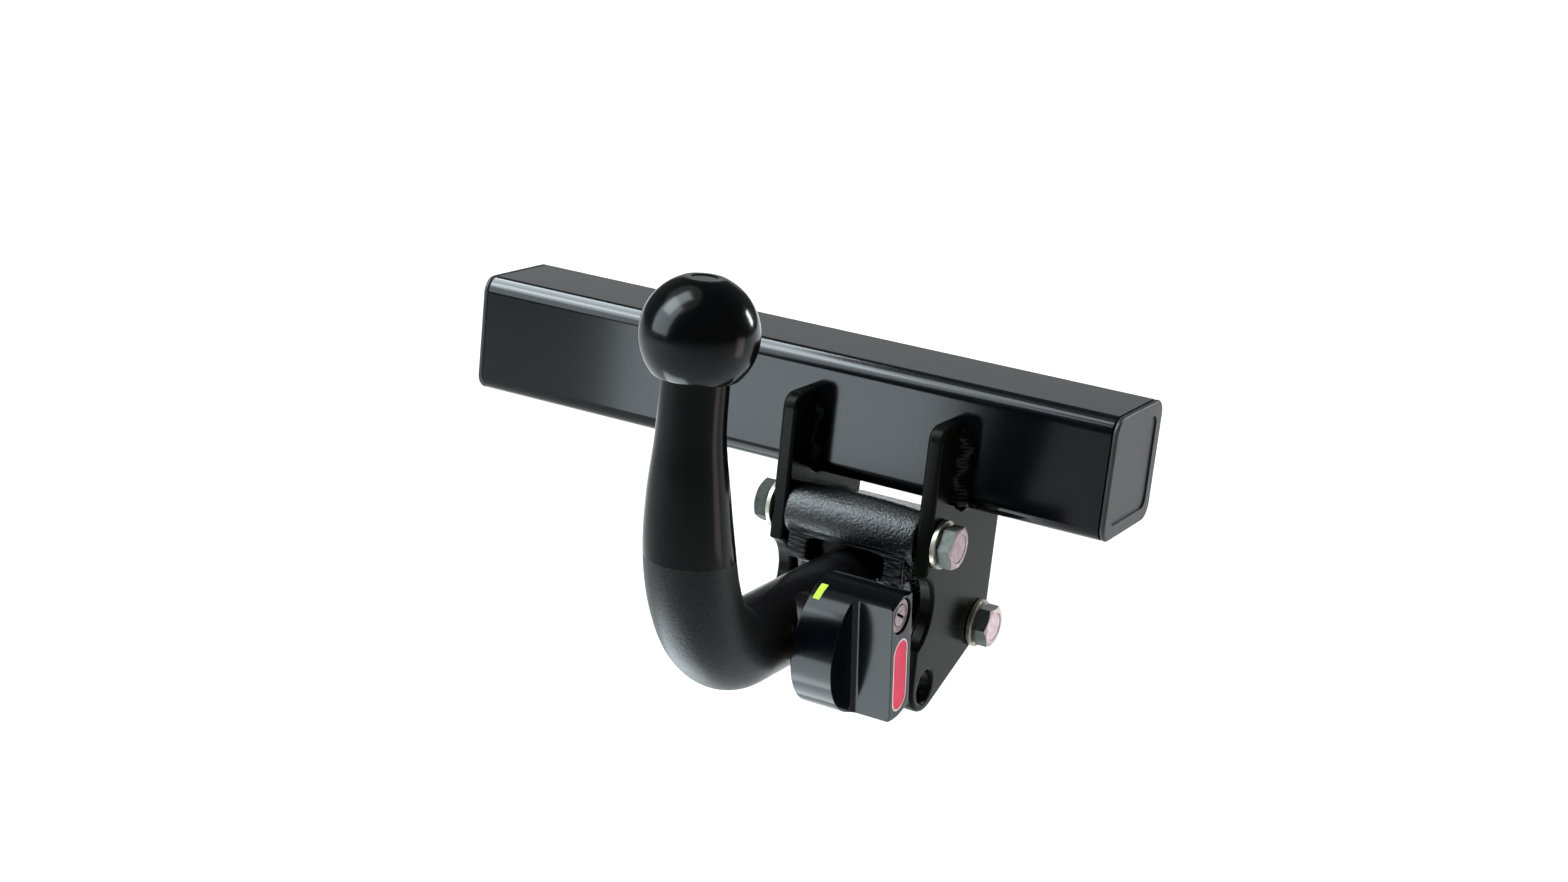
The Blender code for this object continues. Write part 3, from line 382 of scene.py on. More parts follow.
def combine(obj, operation, others):
    """Joins or cuts obj with the other objects, which are then removed."""
    for other in others:
        step = obj.modifiers.new("combine", "BOOLEAN")
        step.operation = operation
        step.solver = "EXACT"
        step.object = other
        apply_modifiers(obj)
        bpy.data.objects.remove(other)


def soften(obj, width, steps, limit):
    """Rounds every edge that is sharper than the limit, in degrees."""
    step = obj.modifiers.new("soften", "BEVEL")
    step.width = width
    step.segments = steps
    step.limit_method = "ANGLE"
    step.angle_limit = math.radians(limit)
    apply_modifiers(obj)


def cast(obj, voxel, passes):
    """Gives a joined body the soft inside and outside corners of a casting."""
    remesh = obj.modifiers.new("remesh", "REMESH")
    remesh.mode = "VOXEL"
    remesh.voxel_size = voxel
    relax = obj.modifiers.new("relax", "SMOOTH")
    relax.factor = 0.5
    relax.iterations = passes
    apply_modifiers(obj)


def finish_piece(obj, surface, body, replaced=(), sharp=32):
    """Smooth shading that stops at sharp edges, then the material and the body it rides on."""
    bm = bmesh.new()
    bm.from_mesh(obj.data)
    for face in bm.faces:
        face.smooth = True
    for edge in bm.edges:
        edge.smooth = edge.calc_face_angle(0.0) < math.radians(sharp)
    bm.to_mesh(obj.data)
    bm.free()
    weigh = obj.modifiers.new("weighted_normals", "WEIGHTED_NORMAL")
    weigh.keep_sharp = True
    obj.data.materials.clear()
    obj.data.materials.append(surface)
    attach(obj, body)
    if replaced:
        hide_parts(*replaced)
    return obj


class Surface:
    """A Principled material built up from procedural layers in object space."""

    def __init__(self, name, slot, colour, roughness, specular=0.5, metallic=0.0):
        self.material = bpy.data.materials.new(name)
        self.material.use_nodes = True
        self.nodes = self.material.node_tree.nodes
        self.links = self.material.node_tree.links
        self.shader = self.nodes["Principled BSDF"]
        for key, value in (("Base Color", (*colour, 1.0)), ("Roughness", roughness),
                           ("Metallic", metallic), ("Specular IOR Level", specular)):
            self.shader.inputs[key].default_value = value
        self.place = self.nodes.new("ShaderNodeTexCoord").outputs["Object"]
        self.relief = None

    def new(self, kind, inputs, **settings):
        """Adds a node whose inputs are given as numbers, colours or outputs of other nodes."""
        node = self.nodes.new(kind)
        for key, value in settings.items():
            setattr(node, key, value)
        for key, value in inputs.items():
            if isinstance(value, bpy.types.NodeSocket):
                self.links.new(value, node.inputs[key])
            else:
                colour = isinstance(value, tuple)
                node.inputs[key].default_value = (*value, 1.0) if colour else value
        return node

    def noise(self, size, detail=3.0, roughness=0.55, stretch=(1, 1, 1), distortion=0.0):
        """Noise whose features are about size metres across, stretched along an axis."""
        scale = [1 / (size * s) for s in stretch]
        mapping = self.new("ShaderNodeMapping", {"Vector": self.place, "Scale": scale})
        return self.new("ShaderNodeTexNoise", {
            "Vector": mapping.outputs["Vector"], "Scale": 1.0, "Detail": detail,
            "Roughness": roughness, "Distortion": distortion}).outputs["Fac"]

    def ramp(self, value, low, high, start=0.0, end=1.0):
        """Smoothly maps value from start..end to low..high."""
        limits = {"From Min": start, "From Max": end, "To Min": low, "To Max": high}
        return self.new("ShaderNodeMapRange", {"Value": value, **limits},
                        interpolation_type="SMOOTHSTEP").outputs["Result"]

    def math(self, operation, a, b):
        return self.new("ShaderNodeMath", {0: a, 1: b}, operation=operation).outputs["Value"]

    def component(self, vector, axis):
        return self.new("ShaderNodeSeparateXYZ", {"Vector": vector}).outputs[axis]

    def blend(self, factor, first, second):
        return self.new("ShaderNodeMix", {"Factor": factor, "A": first, "B": second},
                        data_type="RGBA").outputs["Result"]

    def set(self, name, value):
        self.links.new(value, self.shader.inputs[name])

    def bump(self, height, depth):
        """Adds a relief of the given depth in metres."""
        inputs = {"Strength": 1.0, "Distance": depth, "Height": height}
        if self.relief:
            inputs["Normal"] = self.relief
        self.relief = self.new("ShaderNodeBump", inputs).outputs["Normal"]
        self.set("Normal", self.relief)


# How each kind of finish varies: the noise of its colour clouds and the range it fades over, the
# fine noise of its roughness and that one's spread, and the noise of its relief if it has its own.
POWDER = {"cloud": (0.035, 4.0), "fade": (0.35, 0.7), "fine": (0.0012, 2.0),
          "spread": (0.88, 1.15), "peel": (0.0022, 2.0, 0.4)}
SATIN = {"cloud": (0.02, 3.0), "fade": (0.3, 0.7), "fine": (0.006, 3.0, 0.6),
         "spread": (0.85, 1.2), "peel": (0.003, 2.0, 0.4)}
PLATING = {"cloud": (0.004, 3.0), "fade": (0.35, 0.65), "fine": (0.0007, 3.0, 0.6, (1, 1, 3)),
           "spread": (0.8, 1.25)}
MOULDED = {"cloud": (0.015, 3.0), "fade": (0.35, 0.65), "fine": (0.00045, 2.0, 0.6),
           "spread": (0.9, 1.12)}


def coat(name, slot, kind, first, second, roughness, specular, relief, metallic=0.0):
    """A finish with clouds of two colours, uneven roughness and a relief given in metres."""
    surface = Surface(name, slot, first, roughness, specular, metallic)
    tone = surface.ramp(surface.noise(*kind["cloud"]), 0.0, 1.0, *kind["fade"])
    surface.set("Base Color", surface.blend(tone, first, second))
    fine = surface.noise(*kind["fine"])
    least, most = (roughness * x for x in kind["spread"])
    surface.set("Roughness", surface.ramp(fine, least, most, 0.3, 0.7))
    surface.bump(surface.noise(*kind["peel"]) if "peel" in kind else fine, relief)
    return surface.material


def forged_finish():
    """The bend's grey orange-peel skin, which turns smooth along the arm and darker there, the darker
    colour being painted shade.
    """
    surface = Surface("forged_coat", "neck_paint", (0.02, 0.02, 0.02), 0.34, 0.15)
    grain = surface.noise(0.0011, 3.0, 0.6)
    arm_smooth_and_shaded = surface.ramp(surface.component(surface.place, "Y"), 0.0, 1.0, -0.208, -0.172)
    crest = surface.ramp(grain, 0.0, 1.0, 0.35, 0.65)
    skin = surface.blend(crest, (0.0026, 0.003, 0.0032), (0.0085, 0.0094, 0.01))
    # Along the arm the skin gives way to a darker, even colour: painted shade; the lower roughness and
    # fainter relief there are the finish's own.
    surface.set("Base Color", surface.blend(arm_smooth_and_shaded, skin, (0.0035, 0.0032, 0.0035)))
    surface.set("Roughness", surface.ramp(arm_smooth_and_shaded, 0.36, 0.26))
    surface.bump(surface.math("MULTIPLY", grain, surface.ramp(arm_smooth_and_shaded, 1.0, 0.12)), 0.00022)
    return surface.material


def cast_finish():
    """Black paint over sand-cast grain."""
    surface = Surface("cast_coat", "cast_paint", (0.01, 0.011, 0.012), 0.3, 0.44)
    grain = surface.noise(0.0013, 3.0, 0.6, distortion=0.3)
    crest = surface.ramp(grain, 0.0, 1.0, 0.42, 0.62)
    surface.set("Base Color", surface.blend(crest, (0.0006, 0.0008, 0.001),
                                            (0.003, 0.0035, 0.0041)))
    surface.set("Roughness", surface.ramp(grain, 0.3, 0.17, 0.35, 0.65))
    surface.bump(grain, 0.0004)
    return surface.material


def pad_finish():
    """The casting's front pad, with wavy level tool marks whose crests are painted lighter as painted
    highlights.
    """
    surface = Surface("pad_coat", "cast_paint", (0.001, 0.0012, 0.0015), 0.26, 0.09)
    lines = surface.noise(0.0012, 2.0, 0.5, stretch=(14, 14, 1), distortion=0.25)
    crest = surface.ramp(lines, 0.0, 1.0, 0.52, 0.62)
    # The tool marks' crests are painted much lighter than the pad: painted highlights.
    surface.set("Base Color", surface.blend(crest, (0.0008, 0.001, 0.0013),
                                            (0.014, 0.016, 0.018)))
    surface.bump(lines, 0.0012)
    surface.bump(surface.noise(0.0013, 3.0, 0.6), 0.0001)
    return surface.material


def bolt_finish(name, shade_factor):
    """Zinc plating, greenish on the flats and faintly pink on the end face; the end face is painted
    much lighter than the flats as a painted highlight, and a factor darkens the flats as painted shade.
    """
    surface = Surface(name, "zinc", (0.3, 0.3, 0.3), 0.4, 0.15, 0.15)
    normal = surface.new("ShaderNodeNewGeometry", {}).outputs["Normal"]
    outward = surface.math("ABSOLUTE", surface.component(normal, "X"), 0.0)
    end_face = surface.ramp(outward, 0.0, 1.0, 0.75, 0.95)
    cloud = surface.ramp(surface.noise(0.003, 3.0), 0.0, 1.0, 0.35, 0.65)
    # The flats' two colours are scaled by the shade factor: painted shade on the darker bolts.
    dull, clean = (tuple(c * shade_factor for c in colour)
                   for colour in ((0.078, 0.09, 0.084), (0.12, 0.13, 0.118)))
    flats = surface.blend(cloud, dull, clean)
    # The end face is painted several times lighter than the flats: a painted highlight, over the
    # plating's faint pink tint.
    highlit_ends = surface.blend(cloud, (0.5, 0.37, 0.39), (0.64, 0.52, 0.52))
    surface.set("Base Color", surface.blend(end_face, flats, highlit_ends))
    fine = surface.noise(0.0008, 3.0, 0.6)
    surface.set("Roughness", surface.ramp(fine, 0.38, 0.5, 0.3, 0.7))
    surface.bump(fine, 0.00004)
    return surface.material


# Linear colours, then roughness, specular level and depth of relief.
BEAM_COAT = coat(
    "beam_coat", "beam_paint", POWDER,
    (0.0005, 0.0007, 0.001), (0.0009, 0.0011, 0.0015), 0.12, 0.2, 5e-6)
PLATE_COAT = coat(
    "plate_coat", "plate_paint", POWDER,
    (0.002, 0.0022, 0.0017), (0.0032, 0.0033, 0.0028), 0.22, 0.045, 5e-6)
BEAD_COAT = coat(
    "bead_coat", "beam_paint", POWDER,
    (0.001, 0.0011, 0.0013), (0.0016, 0.0017, 0.0019), 0.24, 0.1, 4e-6)
BALL_COAT = coat(
    "ball_coat", "neck_paint", SATIN,
    (0.0005, 0.0005, 0.0007), (0.0009, 0.0009, 0.0011), 0.15, 0.2, 4e-6)
NECK_COAT = coat(
    "turned_coat", "neck_paint", SATIN,
    (0.0005, 0.0006, 0.0005), (0.0009, 0.0011, 0.0009), 0.15, 0.12, 6e-6)
FORGED_COAT = forged_finish()
CAST_COAT = cast_finish()
PAD_COAT = pad_finish()
# The left bolts' flats are painted darker than the right ones': painted shade.
BOLT_PLATING = {"left": bolt_finish("shaded_bolt_plating", 0.45),
                "right": bolt_finish("bolt_plating", 1.0)}
ZINC = coat(
    "zinc_plating", "zinc", PLATING,
    (0.26, 0.26, 0.22), (0.38, 0.36, 0.29), 0.36, 0.5, 3e-5, 0.7)
STEEL = coat(
    "ground_steel", "hardened_steel", PLATING,
    (0.36, 0.36, 0.37), (0.46, 0.46, 0.46), 0.22, 0.5, 3e-5, 1.0)
BRONZE = coat(
    "bush_bronze", "bronze", PLATING,
    (0.52, 0.33, 0.14), (0.6, 0.4, 0.2), 0.3, 0.5, 3e-5, 1.0)
NICKEL = coat(
    "lock_nickel", "lock_metal", {**PLATING, "cloud": (0.002, 3.0)},
    (0.19, 0.14, 0.15), (0.3, 0.235, 0.245), 0.36, 0.5, 3e-5, 0.6)
WHEEL_PLASTIC = coat(
    "shell_plastic", "wheel_plastic", MOULDED,
    (0.0009, 0.0013, 0.0019), (0.0014, 0.002, 0.0027), 0.15, 0.15, 4e-6)
CAP_PLASTIC = coat(
    "cap_plastic", "plain_plastic", MOULDED,
    (0.009, 0.009, 0.0095), (0.013, 0.013, 0.0135), 0.48, 0.5, 3e-5)
RUBBER = coat(
    "seal_rubber", "rubber", MOULDED,
    (0.008, 0.008, 0.008), (0.012, 0.012, 0.012), 0.6, 0.5, 3e-5)
GREEN = coat(
    "mark_green", "green_mark", MOULDED,
    (0.34, 0.55, 0.02), (0.42, 0.62, 0.04), 0.42, 0.3, 2e-5)
RED = coat(
    "label_red", "red_label", MOULDED,
    (0.6, 0.006, 0.05), (0.7, 0.014, 0.075), 0.32, 0.1, 1e-5)
PALE = coat(
    "label_border", "red_label", MOULDED,
    (0.62, 0.5, 0.52), (0.7, 0.6, 0.61), 0.38, 0.3, 1e-5)


# --- crossbeam and plates
def make_beam():
    middle = ((BEAM_LOW[1] + BEAM_HIGH[1]) / 2, 0)
    outer = box_outline(BEAM_SIZE, BEAM_SIZE, BEAM_CORNER, middle, 20)
    inner_size = BEAM_SIZE - 2 * BEAM_WALL
    inner = box_outline(inner_size, inner_size, BEAM_CORNER - BEAM_WALL, middle)
    beam = slab("crossbeam_tube", [outer, inner], BEAM_LOW[0], BEAM_HIGH[0], SIDE_VIEW, BEAM_EDGE, 1)
    finish_piece(beam, BEAM_COAT, "receiver", ["crossbeam"], 40)
    dish_size = inner_size - 2 * DISH_MARGIN
    dished = box_outline(dish_size, dish_size, DISH_CORNER, middle)
    for node, face, outward in (("end_cap_left", BEAM_LOW[0], -1), ("end_cap_right", BEAM_HIGH[0], 1)):
        low, high = sorted(face + outward * x for x in (GAP, PLUG_FLANGE))
        cap = slab(f"{node}_flange", [outer], low, high, SIDE_VIEW, PLUG_EDGE)
        low, high = sorted(face + outward * (PLUG_FLANGE + x) for x in (-DISH_DEPTH, CUT_PAST))
        combine(cap, "DIFFERENCE", [slab("dish", [dished], low, high, SIDE_VIEW)])
        finish_piece(cap, CAP_PLASTIC, "receiver", [node])


def plate_outline():
    front, rear = PLATE_LOW[1], PLATE_HIGH[1]
    notch_y = -BEAM_SIZE - GAP
    notch_z = -BEAM_SIZE / 2 - GAP
    outline = rounded([
        (front, PLATE_HIGH[2], HORN_CORNER),
        (notch_y, PLATE_HIGH[2], SHORT_CORNER),
        (notch_y, notch_z, HORN_CORNER),
        (rear, notch_z, SHORT_CORNER),
        (rear, PLATE_HEEL, HEEL_CORNER),
        (front, PLATE_TIP, TIP_CORNER),
    ])
    reach = RECESS_CENTRE[0] - front
    half_angle = math.degrees(math.acos(-reach / RECESS_R))
    return outline + arc(RECESS_CENTRE, RECESS_R, -half_angle, half_angle, 33)


def make_plates():
    holes = ((UPPER_BOLT, BOLT_R + HOLE_PLAY), (LOWER_BOLT, BOLT_R + HOLE_PLAY), (EYE_CENTRE, EYE_R))
    loops = [plate_outline(), *(circle(centre, radius) for centre, radius in holes)]
    inner, outer = PLATE_LOW[0], PLATE_HIGH[0]
    for side, low, high in (("right", inner, outer), ("left", -outer, -inner)):
        plate = slab(f"plate_{side}", loops, low, high, SIDE_VIEW, PLATE_EDGE, 4)
        finish_piece(plate, PLATE_COAT, "receiver", [f"side_plate_{side}"], 40)


def fillet_bead(name, start, end, along_beam, along_plate, legs, phase):
    """A hand-laid fillet weld: irregular legs, overlapping ripples and a flared lower end."""
    start, end, along_beam, along_plate = (Vector(v) for v in (start, end, along_beam, along_plate))
    length = (end - start).length
    count = int(length / BEAD_RIPPLE * 7)
    rings = []
    for i in range(count + 1):
        t = i / count
        along = length * t
        wander = 0.2 * math.sin(6.3 * (1.4 * t + phase)) + 0.12 * math.sin(6.3 * (3.7 * t + 2 * phase))
        flare = 0.55 * math.exp(-along / 0.0035)
        near_end = min(along + 0.002, length - along)
        taper = min(1.0, math.sqrt(max(0.04, near_end / 0.0045)))
        beam_leg = legs[0] * (1 + wander + flare) * taper
        plate_leg = legs[1] * (1 - 0.8 * wander + flare) * taper
        scallop = 0.00009 * abs(math.sin(math.pi * along / BEAD_RIPPLE)) - 0.0001
        section = [(-BEAD_BACK, -BEAD_BACK), (beam_leg, -BEAD_BACK)]
        for k in range(13):
            u = k / 12
            lump = noise.noise(Vector((u * 1.2, along / 0.011, 7 * phase))) * 0.0008
            crown = math.sin(math.pi * u) * (0.0006 + scallop + lump)
            section.append((beam_leg * (1 - u) + crown, plate_leg * u + crown))
        section.append((-BEAD_BACK, plate_leg))
        centre = start + (end - start) * t
        rings.append([centre + along_beam * a + along_plate * b for a, b in section])
    return stack(name, rings, Matrix.Identity(4))


def make_welds():
    face_y, under_z = BEAM_LOW[1], BEAM_LOW[2]
    inner, outer = PLATE_LOW[0], PLATE_HIGH[0]
    for side, sign in SIDES:
        runs = (
            ("outer", outer, (face_y, -0.0275), (face_y, 0.0105), 1, (0, -1, 0), (0.0052, 0.0046)),
            ("inner", inner, (face_y, -0.024), (face_y, 0.0085), -1, (0, -1, 0), (0.0034, 0.0032)),
            ("under", outer, (-0.051, under_z), (-0.009, under_z), 1, (0, 0, -1), (0.0036, 0.0034)),
        )
        for i, (label, x, start, end, way, along_plate, legs) in enumerate(runs):
            bead = fillet_bead(f"bead_{side}_{label}", (sign * x, *start), (sign * x, *end),
                               (sign * way, 0, 0), along_plate, legs, 0.37 * i + 0.21 * sign)
            finish_piece(bead, BEAD_COAT, "receiver", [f"weld_{side}_{label}"], 50)


# --- receiver
def make_housing():
    """The casting: a block with two bosses and a barrel, with the front window and the bore cut."""
    outline = rounded(HOUSING_OUTLINE)
    body = slab("receiver_casting", [outline], -HOUSING_HALF, HOUSING_HALF, SIDE_VIEW)
    crown = [(BOSS_R + BOSS_SWELL * (1 - (i / 8) ** 2), BOSS_HALF * i / 8) for i in range(-8, 9)]
    upper = lathe("upper", [(0, -BOSS_HALF), *crown, (0, BOSS_HALF)], along_x((0, *UPPER_BOLT)))
    lower = rod("lower", BOSS_R, -BOSS_HALF, BOSS_HALF, along_x((0, *LOWER_BOLT)))
    barrel = rod("barrel", BARREL_R, HOUSING_FRONT + BARREL_SETBACK, BARREL_BACK, SHANK)
    combine(body, "UNION", [upper, lower, barrel])
    window = box_outline(*WINDOW_SIZE, WINDOW_CORNER, (0, WINDOW_Z))
    cutters = [slab("window", [window], WINDOW_BACK, 0.1, FRONT_VIEW)]
    for y, z in (UPPER_BOLT, LOWER_BOLT):
        for sign in (-1, 1):
            cutters.append(rod("hole", BOLT_R + GAP, 0.0115, 0.04, along_x((0, y, z), sign)))
    shoulder = SLEEVE_LOW[1] - GAP
    sleeve_r = (SLEEVE_HIGH[0] - SLEEVE_LOW[0]) / 2 + GAP
    bore = stepped(-0.12, (SHANK_R + GAP, shoulder), (sleeve_r, 0.004))
    cutters.append(lathe("bore", bore, SHANK))
    combine(body, "DIFFERENCE", cutters)
    cast(body, 0.0006, 6)
    finish_piece(body, CAST_COAT, "receiver", ["receiver_housing"], 70)
    body.data.materials.append(PAD_COAT)
    for face in body.data.polygons:
        centre = face.center
        if centre.y < HOUSING_FRONT + PAD_DEPTH and face.normal.y < -0.8 and centre.z < PAD_TOP:
            face.material_index = 1


def make_sleeve_and_cap():
    """The hardened ring with its round groove, and the plug behind it."""
    outer = (SLEEVE_HIGH[0] - SLEEVE_LOW[0]) / 2
    bore_r = SHANK_R + GAP
    ball_out = LOCK_BALL_IN + LOCK_BALL_TRAVEL
    groove_r = LOCK_BALL_R + GAP
    edge = math.degrees(math.acos((bore_r - ball_out) / groove_r))
    groove = arc((ball_out, LOCK_BALL_Y), groove_r, edge, -edge, 17)
    start, end = SLEEVE_LOW[1], SLEEVE_HIGH[1]
    chamfer = 0.0004
    profile = [(outer - chamfer, start), (outer, start + chamfer),
               (outer, end - chamfer), (outer - chamfer, end),
               (bore_r + chamfer, end), (bore_r, end - chamfer), *groove,
               (bore_r, start + chamfer), (bore_r + chamfer, start)]
    finish_piece(lathe("sleeve_ring", profile, SHANK), STEEL, "receiver", ["locking_sleeve"])
    low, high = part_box("rear_cap")
    outer = (high[0] - low[0]) / 2
    front, back = low[1], high[1]
    inside, edge, fillet, floor = outer - 0.003, 0.0005, 0.0015, back - 0.004
    profile = [(0, front), *low_edge(outer, front, 0.0006), *high_edge(outer, back, 0.0008),
               *arc((inside + edge, back - edge), edge, 90, 180, 4),
               *arc((inside - fillet, floor + fillet), fillet, 0, -90, 5), (0, floor)]
    finish_piece(lathe("bore_cap", profile, SHANK), CAP_PLASTIC, "receiver", ["rear_cap"])


def hex_bolt(name, place):
    """M12 hexagon bolt with a chamfered, slightly dished head and a washer face under it."""
    count = 72
    flat, corner = BOLT_HEAD / 2, BOLT_HEAD / 2 / math.cos(math.pi / 6) * 0.992
    chamfer_r, collar_r, collar_h, tip = flat * 0.95, flat * 0.97, 0.0005, 0.001
    slope = math.tan(math.radians(30))
    angles = [2 * math.pi * i / count for i in range(count)]
    hexagon = [min(flat / math.cos((a % (math.pi / 3)) - math.pi / 6), corner) for a in angles]
    rings = [
        *([point] * count for point in (
            (BOLT_R - tip, -BOLT_LENGTH), (BOLT_R, -BOLT_LENGTH + tip), (BOLT_R, 0.0),
            (collar_r, 0.0), (collar_r, collar_h))),
        [(radius - 0.0003, collar_h) for radius in hexagon],
        [(radius, 0.0009) for radius in hexagon],
        [(radius, BOLT_HEAD_H - (radius - chamfer_r) * slope) for radius in hexagon],
        *([point] * count for point in (
            (chamfer_r, BOLT_HEAD_H - 0.00005), (chamfer_r - 0.0003, BOLT_HEAD_H),
            (chamfer_r * 0.8, BOLT_HEAD_H), (chamfer_r * 0.74, BOLT_HEAD_H - 0.00035))),
    ]
    points = [[(radius * math.cos(a), radius * math.sin(a), z) for (radius, z), a in zip(row, angles)]
              for row in rings]
    return stack(name, points, place)


def make_bolts():
    washer_in = PLATE_HIGH[0] + GAP
    under_head = washer_in + WASHER_T + GAP
    for side, sign in SIDES:
        for level, (y, z) in (("upper", UPPER_BOLT), ("lower", LOWER_BOLT)):
            facing = Matrix.Rotation(math.radians(90) * sign, 4, "Y")
            stopped = Matrix.Rotation(math.radians(30 if sign > 0 else 0), 4, "X")
            place = Matrix.Translation((sign * under_head, y, z)) @ stopped @ facing
            bolt = hex_bolt(f"hex_bolt_{level}_{side}", place)
            finish_piece(bolt, BOLT_PLATING[side], "receiver", [f"bolt_{level}_{side}"], 24)
            place = along_x((sign * washer_in, y, z), sign)
            washer = ring(f"flat_washer_{level}_{side}", BOLT_R + HOLE_PLAY, WASHER_R,
                          0, WASHER_T, place, WASHER_EDGE)
            finish_piece(washer, ZINC, "receiver", [f"washer_{level}_{side}"])


# --- neck
def neck_rings(segments):
    """Rings of the one-piece forging, from the ball's flat top to the shank's tail."""
    down, along = Vector((0, -1)), Vector((1, 0))
    dish = BALL_FLAT_Z - 0.0004
    rows = [(BALL_Y, dish, BALL_FLAT_R * 0.55, down), (BALL_Y, dish, BALL_FLAT_R * 0.62, down),
            (BALL_Y, BALL_FLAT_Z, BALL_FLAT_R * 0.68, down)]
    top = math.degrees(math.asin(BALL_FLAT_R / BALL_R))
    bottom = math.degrees(math.acos(-BALL_RIM_DROP / BALL_R))
    steps = 48
    for i in range(steps + 1):
        angle = math.radians(top + (bottom - top) * i / steps)
        rows.append((BALL_Y, BALL_Z + BALL_R * math.cos(angle), BALL_R * math.sin(angle), down))
    under_rim = BALL_Z - BALL_RIM_DROP - 0.0003
    rim_r = math.sqrt(BALL_R ** 2 - BALL_RIM_DROP ** 2)
    rows.append((BALL_Y, under_rim, rim_r - 0.0005, down))
    neck_r, fillet = NECK_STATIONS[0][2], 0.0012
    for radius, z in arc((neck_r + fillet, under_rim - fillet), fillet, 90, 180, 6):
        rows.append((BALL_Y, z, radius, down))
    path = smooth_rows(NECK_STATIONS, 12)[3:]
    for i, (y, z, radius) in enumerate(path):
        ahead = Vector(path[min(i + 1, len(path) - 1)][:2]) - Vector(path[max(i - 1, 0)][:2])
        rows.append((y, z, radius, ahead.normalized()))
    rows[-1] = (*rows[-1][:3], along)
    groove_start, groove_end = SEAL_Y - SEAL_GROOVE_HALF, SEAL_Y + SEAL_GROOVE_HALF
    for y, radius in ((groove_start, SHANK_R), (groove_start, SEAL_GROOVE_R),
                      (groove_end, SEAL_GROOVE_R), (groove_end, SHANK_R),
                      (SHANK_TAIL - 0.003, SHANK_R), (SHANK_TAIL, SHANK_R - 0.0022)):
        rows.append((y, SHANK_Z, radius, along))
    rings = []
    for y, z, radius, direction in rows:
        across = Vector((0, direction.y, -direction.x))
        angles = (2 * math.pi * k / segments for k in range(segments))
        rings.append([Vector((0, y, z)) + (Vector((math.cos(a), 0, 0)) + across * math.sin(a)) * radius
                      for a in angles])
    return rings


def make_neck():
    neck = stack("tow_ball_neck", neck_rings(96), Matrix.Identity(4))
    spindle = along_x((0, WHEEL_Y, WHEEL_Z))
    face = high_edge(NECK_BOSS_R, NECK_BOSS_FACE, 0.0007, 4)
    back = NECK_BOSS_BACK
    boss = lathe("boss", [(0, back), (NECK_BOSS_R, back), *face, (0, NECK_BOSS_FACE)], spindle)
    lug = box_outline(*LUG_SIZE, LUG_CORNER, (0, WINDOW_Z))
    lug = slab("lug", [lug], LUG_BACK, LUG_FRONT, FRONT_VIEW, LUG_EDGE)
    combine(neck, "UNION", [boss, lug])
    cutters = [lathe("rod_bore", stepped(*ROD_BORE), SHANK, 48),
               lathe("spindle_bore", stepped(*SPINDLE_BORE), spindle, 48)]
    for i in range(3):
        turn = Matrix.Rotation(math.radians(120 * i), 4, "Y")
        place = Matrix.Translation((0, LOCK_BALL_Y, SHANK_Z)) @ turn
        cutters.append(rod("ball_hole", LOCK_BALL_R + GAP, BALL_HOLE_IN, BALL_HOLE_OUT, place,
                           steps=40))
    combine(neck, "DIFFERENCE", cutters)
    coat_neck(neck)


def coat_neck(neck):
    """Glossy ball, satin turned neck and forged bend, each with its own coat."""
    bm = bmesh.new()
    bm.from_mesh(neck.data)
    everything = bm.verts[:] + bm.edges[:] + bm.faces[:]
    bmesh.ops.bisect_plane(bm, geom=everything, plane_co=(0, 0, TURNED_ABOVE), plane_no=(0, 0, 1))
    bm.to_mesh(neck.data)
    bm.free()
    finish_piece(neck, NECK_COAT, "neck", ["ball_neck"], 38)
    neck.data.materials.append(BALL_COAT)
    neck.data.materials.append(FORGED_COAT)
    rim = BALL_Z - BALL_RIM_DROP - 0.0004
    for face in neck.data.polygons:
        if face.center.z > rim:
            face.material_index = 1
        elif face.center.z < TURNED_ABOVE and face.center.y < SHANK_FRONT:
            face.material_index = 2


def make_shank_parts():
    for i, label in enumerate(("top", "right", "left")):
        angle = math.radians(120 * i)
        centre = (LOCK_BALL_IN * math.sin(angle), LOCK_BALL_Y, SHANK_Z + LOCK_BALL_IN * math.cos(angle))
        bm = bmesh.new()
        bmesh.ops.create_uvsphere(bm, u_segments=40, v_segments=24, radius=LOCK_BALL_R)
        ball = piece_from(bm, f"lock_ball_{label}", Matrix.Translation(centre))
        finish_piece(ball, STEEL, f"ball_{label}", [f"locking_ball_{label}"])
    seal = lathe("seal_ring", circle((SEAL_RING_R, SEAL_Y), SEAL_WIRE_R, 16), SHANK)
    finish_piece(seal, RUBBER, "neck", ["shank_seal"])
    low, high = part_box("tail_plug")
    front, back = low[1], high[1]
    sunk = back - 0.0012
    profile = [(0, front), *low_edge(0.0095, front, 0.0006, 4), (0.0095, sunk),
               (0.0084, back), (0.004, back), (0.0036, sunk), (0, sunk)]
    finish_piece(lathe("shank_plug", profile, SHANK), STEEL, "neck", ["tail_plug"])


# --- handwheel
def finger_recess(sign):
    """Cutter beside the grip bar, with a fillet at the bar's foot."""
    half, fillet = GRIP_THICK / 2, GRIP_FILLET
    foot = arc((half + fillet, DRUM_FRONT + fillet), fillet, 180, 270, 10)
    reach = 0.04
    outline = [(half, BEYOND_GRIP), *foot, (reach, DRUM_FRONT), (reach, BEYOND_GRIP)]
    return slab("recess", [[(sign * y, z) for y, z in outline]], -reach, reach, WHEEL @ SIDE_VIEW)


